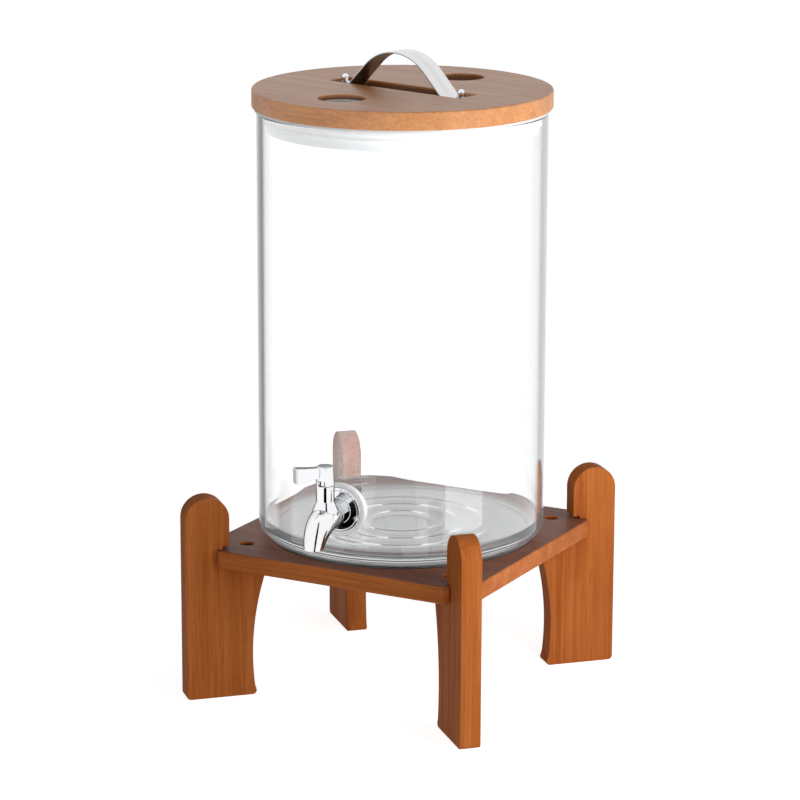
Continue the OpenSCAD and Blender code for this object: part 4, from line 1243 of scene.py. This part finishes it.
class DISPENSER_OT_lid(bpy.types.Operator):
    """Build the wooden lid, its white plug with the seal ring, and the stopper"""

    bl_idname = "dispenser.lid"
    bl_label = "Lid"

    def execute(self, context):
        lid, jar = context.scene.dispenser.lid, context.scene.dispenser.jar
        handle = context.scene.dispenser.handle
        radius, low, high = jar.diameter / 2 + lid.overhang, LID_LOW.z, LID_HIGH.z
        board = turned(
            [(0, low, 0), (radius, low, lid.edge), (radius, high, lid.edge), (0, high, 0)],
            steps=JAR_STEPS)
        hole_at = radius - lid.hole_edge - lid.hole / 2
        cutters = [self.groove(lid)]
        for side in (-1, 1):
            cutters.append(placed(
                drill(lid.hole / 2, low - PAST, high, lid.rim_ease),
                Matrix.Translation((0, side * hole_at, 0))))
            cutters.append(placed(
                rod(handle.screw / 2 + handle.screw_room, low - PAST, high),
                Matrix.Translation((side * handle.screw_at, 0, 0))))
        board = combined(board, "DIFFERENCE", *cutters)
        placed(board, about_z(lid.turn))

        # Painted shade, with the darker stain of end grain, on the walls and floors of the holes and the
        # groove.
        def cuts(tree, coordinates):
            return cut_walls(tree, coordinates, jar.diameter / 2 - jar.wall, high)

        wood = finish("Lid wood", lambda name: wood_finish(
            name, (0, 0, -lid.turn), lid.light_stain, lid.dark_stain, lid.gloss, ((cuts, lid.hole_shade_and_end_grain),)))
        new_piece("lid", board, wood, "lid", "lid_wood", "lid_board")
        self.plug(lid, jar)
        self.stopper(lid, about_z(lid.turn) @ Matrix.Translation((0, -hole_at, 0)))
        return {"FINISHED"}

    def groove(self, lid):
        """Cutter for the handle's groove, with an eased rim."""
        floor, high, ease = STRAP_LOW.z, LID_HIGH.z, lid.rim_ease
        across, along = lid.groove_width / 2, lid.groove_length / 2
        bm = face_inside([((x * along, y * across, 0), lid.groove_round) for x, y in SQUARE])
        spread = Matrix.Diagonal(((along + ease) / along, (across + ease) / across, 1, 1))
        return swept(bm, [
            Matrix.Translation((0, 0, floor)), Matrix.Translation((0, 0, high - ease)),
            Matrix.Translation((0, 0, high)) @ spread, Matrix.Translation((0, 0, high + PAST)) @ spread])

    def plug(self, lid, jar):
        """Plug that goes into the glass, and the lipped ring round it."""
        top, foot = LID_LOW.z, PLUG_LOW.z
        inner = jar.diameter / 2 - jar.wall
        outer_wall = inner - lid.seal_space
        inner_wall = outer_wall - lid.plug_wall
        rim, under_rim = jar.diameter / 2 + lid.plug_rim_over, top - lid.plug_rim
        ceiling = top - lid.plug_top
        plug = turned([
            (0, top, 0), (rim, top, lid.plug_rim_round), (rim, under_rim, lid.plug_rim_round),
            (outer_wall, under_rim, 0), (outer_wall, foot, lid.plug_foot_round),
            (inner_wall, foot, lid.plug_foot_round), (inner_wall, ceiling, lid.plug_inner_round),
            (0, ceiling, 0)], steps=JAR_STEPS)
        new_piece("plug", plug, finish("Plug plastic", plug_finish), "lid", "plug_plastic", "lid_plug")
        height = SEAL_HIGH.z - SEAL_LOW.z
        band, lip = lid.seal_space / 3, lid.seal_space - lid.seal_lip_gap
        section = [(0, 0, 0)]
        for start in (0, height / 2):
            lip_low, lip_high = start + height / 4, start + height * 3 / 8
            section += [
                (band, start, 0), (lip, lip_low, lid.seal_lip_round), (lip, lip_high, lid.seal_lip_round),
                (band, lip_high, 0)]
        section += [(band, height, lid.seal_end_round), (0, height, 0)]
        ring = turned(
            [(outer_wall + out, SEAL_LOW.z + up, rounding) for out, up, rounding in section],
            closed=True, steps=JAR_STEPS)
        silicone = finish("White silicone", silicone_finish)
        new_piece("seal_ring", ring, silicone, "lid", "white_silicone", "lid_seal_ring")

    def stopper(self, lid, where):
        """Soft disc with a raised rim, in the front hole."""
        low, high, edge = STOPPER_LOW.z, STOPPER_HIGH.z, lid.stopper_edge
        radius = lid.hole / 2 - lid.stopper_room
        rim, face = radius - lid.stopper_rim, high - lid.stopper_dish
        stopper = turned([
            (0, low, 0), (radius, low, edge), (radius, high, edge), (rim, high, lid.stopper_round),
            (rim - lid.stopper_dish, face, lid.stopper_round), (0, face, 0)])
        placed(stopper, where)
        silicone = finish("White silicone", silicone_finish)
        new_piece("stopper", stopper, silicone, "lid", "white_silicone", "lid_stopper")


class DISPENSER_OT_handle(bpy.types.Operator):
    """Build the bent strap with its washers and dome nuts"""

    bl_idname = "dispenser.handle"
    bl_label = "Handle"

    def execute(self, context):
        lid, handle = context.scene.dispenser.lid, context.scene.dispenser.handle
        strap = placed(self.strap(handle), about_z(lid.turn))
        brushed = finish("Brushed steel", brushed_finish)
        new_piece("strap", strap, brushed, "lid", "strap_steel", "handle_strap")
        places = [
            about_z(lid.turn) @ Matrix.Translation((side * handle.screw_at, 0, 0)) for side in (-1, 1)]
        washers = merged(*[placed(self.washer(handle), where) for where in places])
        steel = finish("Bright steel", screw_finish)
        new_piece("washers", washers, steel, "lid", "screw_steel", "handle_washers")
        nuts = merged(*[placed(self.dome_nut(handle), where) for where in places])
        chrome = finish("Polished chrome", chrome_finish)
        new_piece("dome_nuts", nuts, chrome, "lid", "nut_chrome", "handle_dome_nuts")
        return {"FINISHED"}

    def strap(self, handle):
        """Strap bent up from its feet in one sheet, from its underside."""
        half, slope = handle.thickness / 2, handle.slope
        floor, across = STRAP_LOW.z, handle.width / 2
        foot_end = handle.half_span + handle.foot
        bend_x = handle.half_span - half * math.tan(slope / 2)
        peak = bend_x * math.tan(slope)
        top = STRAP_HIGH.z - floor - handle.thickness
        top_round = (peak - top) / (1 / math.cos(slope) - 1)
        bm = bmesh.new()
        corners = [
            ((foot_end, -across, floor), 0, 0), ((bend_x, -across, floor), handle.bend + half, 8),
            ((0, -across, floor + peak), top_round, 36), ((-bend_x, -across, floor), handle.bend + half, 8),
            ((-foot_end, -across, floor), 0, 0)]
        verts = [bm.verts.new(where) for where, _, _ in corners]
        for pair in zip(verts, verts[1:]):
            bm.edges.new(pair)
        for vert, (_, radius, segments) in zip(verts, corners):
            if radius:
                round_corner(bm, vert, radius, segments)
        grown = bmesh.ops.extrude_edge_only(bm, edges=bm.edges[:])["geom"]
        bmesh.ops.translate(bm, vec=(0, handle.width, 0), verts=verts_in(grown))
        bmesh.ops.recalc_face_normals(bm, faces=bm.faces[:])
        if sum(face.normal.z for face in bm.faces) > 0:
            bmesh.ops.reverse_faces(bm, faces=bm.faces[:])
        bmesh.ops.solidify(bm, geom=bm.faces[:], thickness=handle.thickness)
        return soften(close(bm), handle.edge, segments=2)

    def washer(self, handle):
        """Flat ring under a dome nut."""
        inner, outer = handle.screw / 2 + handle.washer_room, handle.washer / 2
        low, high = WASHER_LOW.z, WASHER_HIGH.z
        return turned([
            (inner, low, 0), (outer, low, handle.washer_low_round), (outer, high, handle.washer_high_round),
            (inner, high, 0)], closed=True, steps=SMALL_STEPS)

    def dome_nut(self, handle):
        """Hexagon with eased corners and a dome on it."""
        low, high = NUT_LOW.z, NUT_HIGH.z
        hexagon_top = low + handle.nut_hexagon
        flats, corner = handle.nut_flats / 2, hexagon_corner(handle.nut_flats) + WELD
        drop = corner - flats
        easing = turned([
            (0, low, 0), (flats, low, 0), (corner, low + drop, 0), (corner, hexagon_top - drop, 0),
            (flats, hexagon_top, 0), (0, hexagon_top, 0)])
        hexagon = combined(prism(handle.nut_flats, low, hexagon_top), "INTERSECT", easing)
        radius, foot = flats - handle.dome_inset, low + PAST
        dome = turned([
            (0, foot, 0), (radius, foot, 0), (radius, high, FULL_ROUND * radius), (0, high, 0)],
            steps=SMALL_STEPS, segments=16)
        return combined(hexagon, "UNION", dome)


class DISPENSER_OT_stage(bpy.types.Operator):
    """Set up the floor, the light and the camera"""

    bl_idname = "dispenser.stage"
    bl_label = "Stage"

    def execute(self, context):
        stage = context.scene.dispenser.stage
        context.scene.view_settings.view_transform = "Standard"
        self.floor(context, stage)
        self.sky(context, stage)
        self.key(context, stage)
        self.flags(context, stage)
        self.camera(context, stage)
        return {"FINISHED"}

    def seen(self, tree):
        """1 for rays that look, straight, by reflection or through glass, and 0 for rays that light."""
        rays = add_node(tree, "ShaderNodeLightPath").outputs
        mirrored = arithmetic(tree, "MAXIMUM", rays["Is Camera Ray"], rays["Is Glossy Ray"])
        return arithmetic(tree, "MAXIMUM", mirrored, rays["Is Transmission Ray"])

    def sheet(self, context, name, material, corners):
        """A flat sheet of the stage."""
        bm = bmesh.new()
        bmesh.ops.contextual_create(bm, geom=[bm.verts.new(corner) for corner in corners])
        mesh = bpy.data.meshes.new(name)
        bm.to_mesh(mesh)
        bm.free()
        mesh.materials.append(material)
        sheet = bpy.data.objects.new(name, mesh)
        context.scene.collection.objects.link(sheet)
        return sheet

    def oblong(self, width, depth, where):
        """Corners of an oblong round the origin of a placing."""
        return [where @ Vector((x * width / 2, y * depth / 2, 0)) for x, y in SQUARE]

    def card_finish(self, name):
        """A black finish without any sheen: the material, its tree, its surface and its coordinates."""
        material, tree, surface, coordinates = new_finish(name)
        set_surface(tree, surface, Base_Color=BLACK, Roughness=1.0, Specular_IOR_Level=0.0)
        return material, tree, surface, coordinates

    def floor(self, context, stage):
        """Pale floor that is white where nothing shades it."""
        material, tree, surface, _ = new_finish("Pale floor")
        glow = arithmetic(tree, "MULTIPLY", self.seen(tree), stage.floor_glow)
        set_surface(
            tree, surface, Base_Color=opaque(stage.floor_tint), Roughness=1.0, Specular_IOR_Level=0.0,
            Emission_Color=WHITE, Emission_Strength=glow)
        self.sheet(
            context, "floor", material, self.oblong(stage.floor_size, stage.floor_size, Matrix.Identity(4)))

    def sky(self, context, stage):
        """White all round where it is looked at, and a light that is strongest low on one side."""
        world = bpy.data.worlds.new("Studio")
        world.use_nodes = True
        tree = world.node_tree
        direction = add_node(tree, "ShaderNodeTexCoord").outputs["Generated"]
        level = ramp(tree, part_of(tree, direction, "Z"), 0.0, stage.sky_end, 1.0, 0.0)
        lit_side = about_z(stage.sky_side) @ Vector((0, -1, 0))
        facing = vector_math(tree, "DOT_PRODUCT", direction, lit_side)
        side = ramp(tree, facing, -1.0, 1.0, stage.sky_shade, stage.sky)
        even = arithmetic(tree, "MULTIPLY", level, side)
        strength = ramp(tree, self.seen(tree), 0.0, 1.0, even, 1.0)
        fill_in(tree, tree.nodes["Background"], {"Color": WHITE, "Strength": strength})
        context.scene.world = world

    def key(self, context, stage):
        """Soft lamp near the right side."""
        lamp = bpy.data.lights.new("key", "AREA")
        lamp.shape = "RECTANGLE"
        lamp.size, lamp.size_y = stage.key_width, stage.key_height
        lamp.energy = stage.key_power
        key = bpy.data.objects.new("key", lamp)
        key.location = stage.key
        middle = (CAD_BOX[0] + CAD_BOX[1]) / 2
        key.rotation_euler = (middle - key.location).to_track_quat("-Z", "Y").to_euler()
        key.visible_camera = key.visible_glossy = False
        context.scene.collection.objects.link(key)

    def flags(self, context, stage):
        """Dark cards that only polished surfaces and glass see, which give them their dark lines."""
        material = self.card_finish("Black card")[0]
        at_tap = Matrix.Translation((NECK.x, NECK.y, CARD_LIFT))
        mirrored_heading = 2 * TAP_TURN - stage.camera_heading
        cards = []
        for name, turn, near, far, width in (
                ("strip", stage.camera_heading, stage.strip_near, stage.strip_far, stage.strip_width),
                ("foot_card", stage.foot_turn, stage.foot_near, stage.foot_far, stage.foot_width),
                ("face_card", mirrored_heading, stage.face_near, stage.face_far, stage.face_width)):
            where = at_tap @ about_z(turn) @ Matrix.Translation((0, -(near + far) / 2, 0))
            cards.append(self.sheet(context, name, material, self.oblong(width, far - near, where)))
        upright = Matrix.Translation((0, -stage.post_reach, stage.post_height / 2)) @ LAID_OUT
        where = at_tap @ about_z(stage.post_turn) @ upright
        cards.append(self.sheet(
            context, "upright_card", self.one_way(stage),
            self.oblong(stage.post_width, stage.post_height, where)))
        for card in cards:
            card.visible_transmission = False
        for side, dark in ((-1, stage.edge_left), (1, stage.edge_right)):
            cards.append(self.edge_card(context, stage, side, dark))
        for card in cards:
            card.visible_camera = card.visible_diffuse = False
            card.visible_shadow = card.visible_volume_scatter = False

    def edge_card(self, context, stage, side, dark):
        """Card behind one edge of the jar, which darkens outwards and which the glass bends into view."""
        edge = context.scene.dispenser.jar.diameter / 2
        corners = [
            about_z(stage.camera_heading)
            @ Vector((side * (edge + reach * math.sin(turn)), reach * math.cos(turn), CARD_LIFT))
            for turn, reach in (
                (stage.edge_start, stage.edge_near), (stage.edge_start, stage.edge_far),
                (stage.edge_last, stage.edge_far), (stage.edge_last, stage.edge_near))]
        material, tree, surface, coordinates = self.card_finish("Graded card")
        ahead = add_node(tree, "ShaderNodeMapping", {
            "Vector": coordinates, "Rotation": (0, 0, -stage.camera_heading)}).outputs[0]
        out = arithmetic(tree, "MULTIPLY_ADD", part_of(tree, ahead, "X"), side, -edge)
        turn = arithmetic(tree, "ARCTAN2", out, part_of(tree, ahead, "Y"))
        bright = ramp(tree, turn, stage.edge_start, stage.edge_end, 1.0, dark)
        set_surface(
            tree, surface, Emission_Color=blend(tree, bright, BLACK, WHITE), Emission_Strength=1.0)
        return self.sheet(context, "edge_card", material, corners)

    def one_way(self, stage):
        """Black for rays that rise or go level, clear for those that fall, as mirrored by upright glass."""
        material, tree, surface, _ = self.card_finish("One-way card")
        fall = part_of(tree, add_node(tree, "ShaderNodeNewGeometry").outputs["Incoming"], "Z")
        falling = arithmetic(tree, "GREATER_THAN", fall, stage.post_slope)
        clear = add_node(tree, "ShaderNodeBsdfTransparent")
        mixed = add_node(tree, "ShaderNodeMixShader", {
            0: falling, 1: surface.outputs[0], 2: clear.outputs[0]})
        tree.links.new(mixed.outputs[0], tree.nodes["Material Output"].inputs["Surface"])
        return material

    def camera(self, context, stage):
        """Camera at the photograph's viewing angle."""
        data = bpy.data.cameras.new("camera")
        data.lens = stage.lens
        camera = bpy.data.objects.new("camera", data)
        camera.location = stage.camera
        aim = about_z(stage.camera_heading) @ Matrix.Rotation(stage.camera_pitch, 4, "X")
        camera.rotation_euler = (aim @ about_z(stage.camera_roll)).to_euler()
        context.scene.collection.objects.link(camera)
        context.scene.camera = camera


OPERATORS = (
    DISPENSER_OT_stand_board, DISPENSER_OT_legs, DISPENSER_OT_jar, DISPENSER_OT_tap_body,
    DISPENSER_OT_tap_fixings, DISPENSER_OT_tap_lever, DISPENSER_OT_lid, DISPENSER_OT_handle,
    DISPENSER_OT_stage)


class DISPENSER_PT_sidebar(bpy.types.Panel):
    """Lists the steps that build the dispenser."""

    bl_label = "Dispenser"
    bl_space_type = "VIEW_3D"
    bl_region_type = "UI"
    bl_category = "Dispenser"

    def draw(self, context):
        for step in OPERATORS:
            self.layout.operator(step.bl_idname)


CLASSES = (
    StandSettings, JarSettings, TapSettings, LidSettings, HandleSettings, StageSettings, DispenserSettings,
    *OPERATORS, DISPENSER_PT_sidebar)


def register():
    for cls in CLASSES:
        bpy.utils.register_class(cls)
    bpy.types.Scene.dispenser = PointerProperty(type=DispenserSettings)


def unregister():
    del bpy.types.Scene.dispenser
    for cls in reversed(CLASSES):
        bpy.utils.unregister_class(cls)


def main():
    register()
    for step in OPERATORS:
        group, name = step.bl_idname.split(".")
        getattr(getattr(bpy.ops, group), name)()


if __name__ == "__main__":
    main()
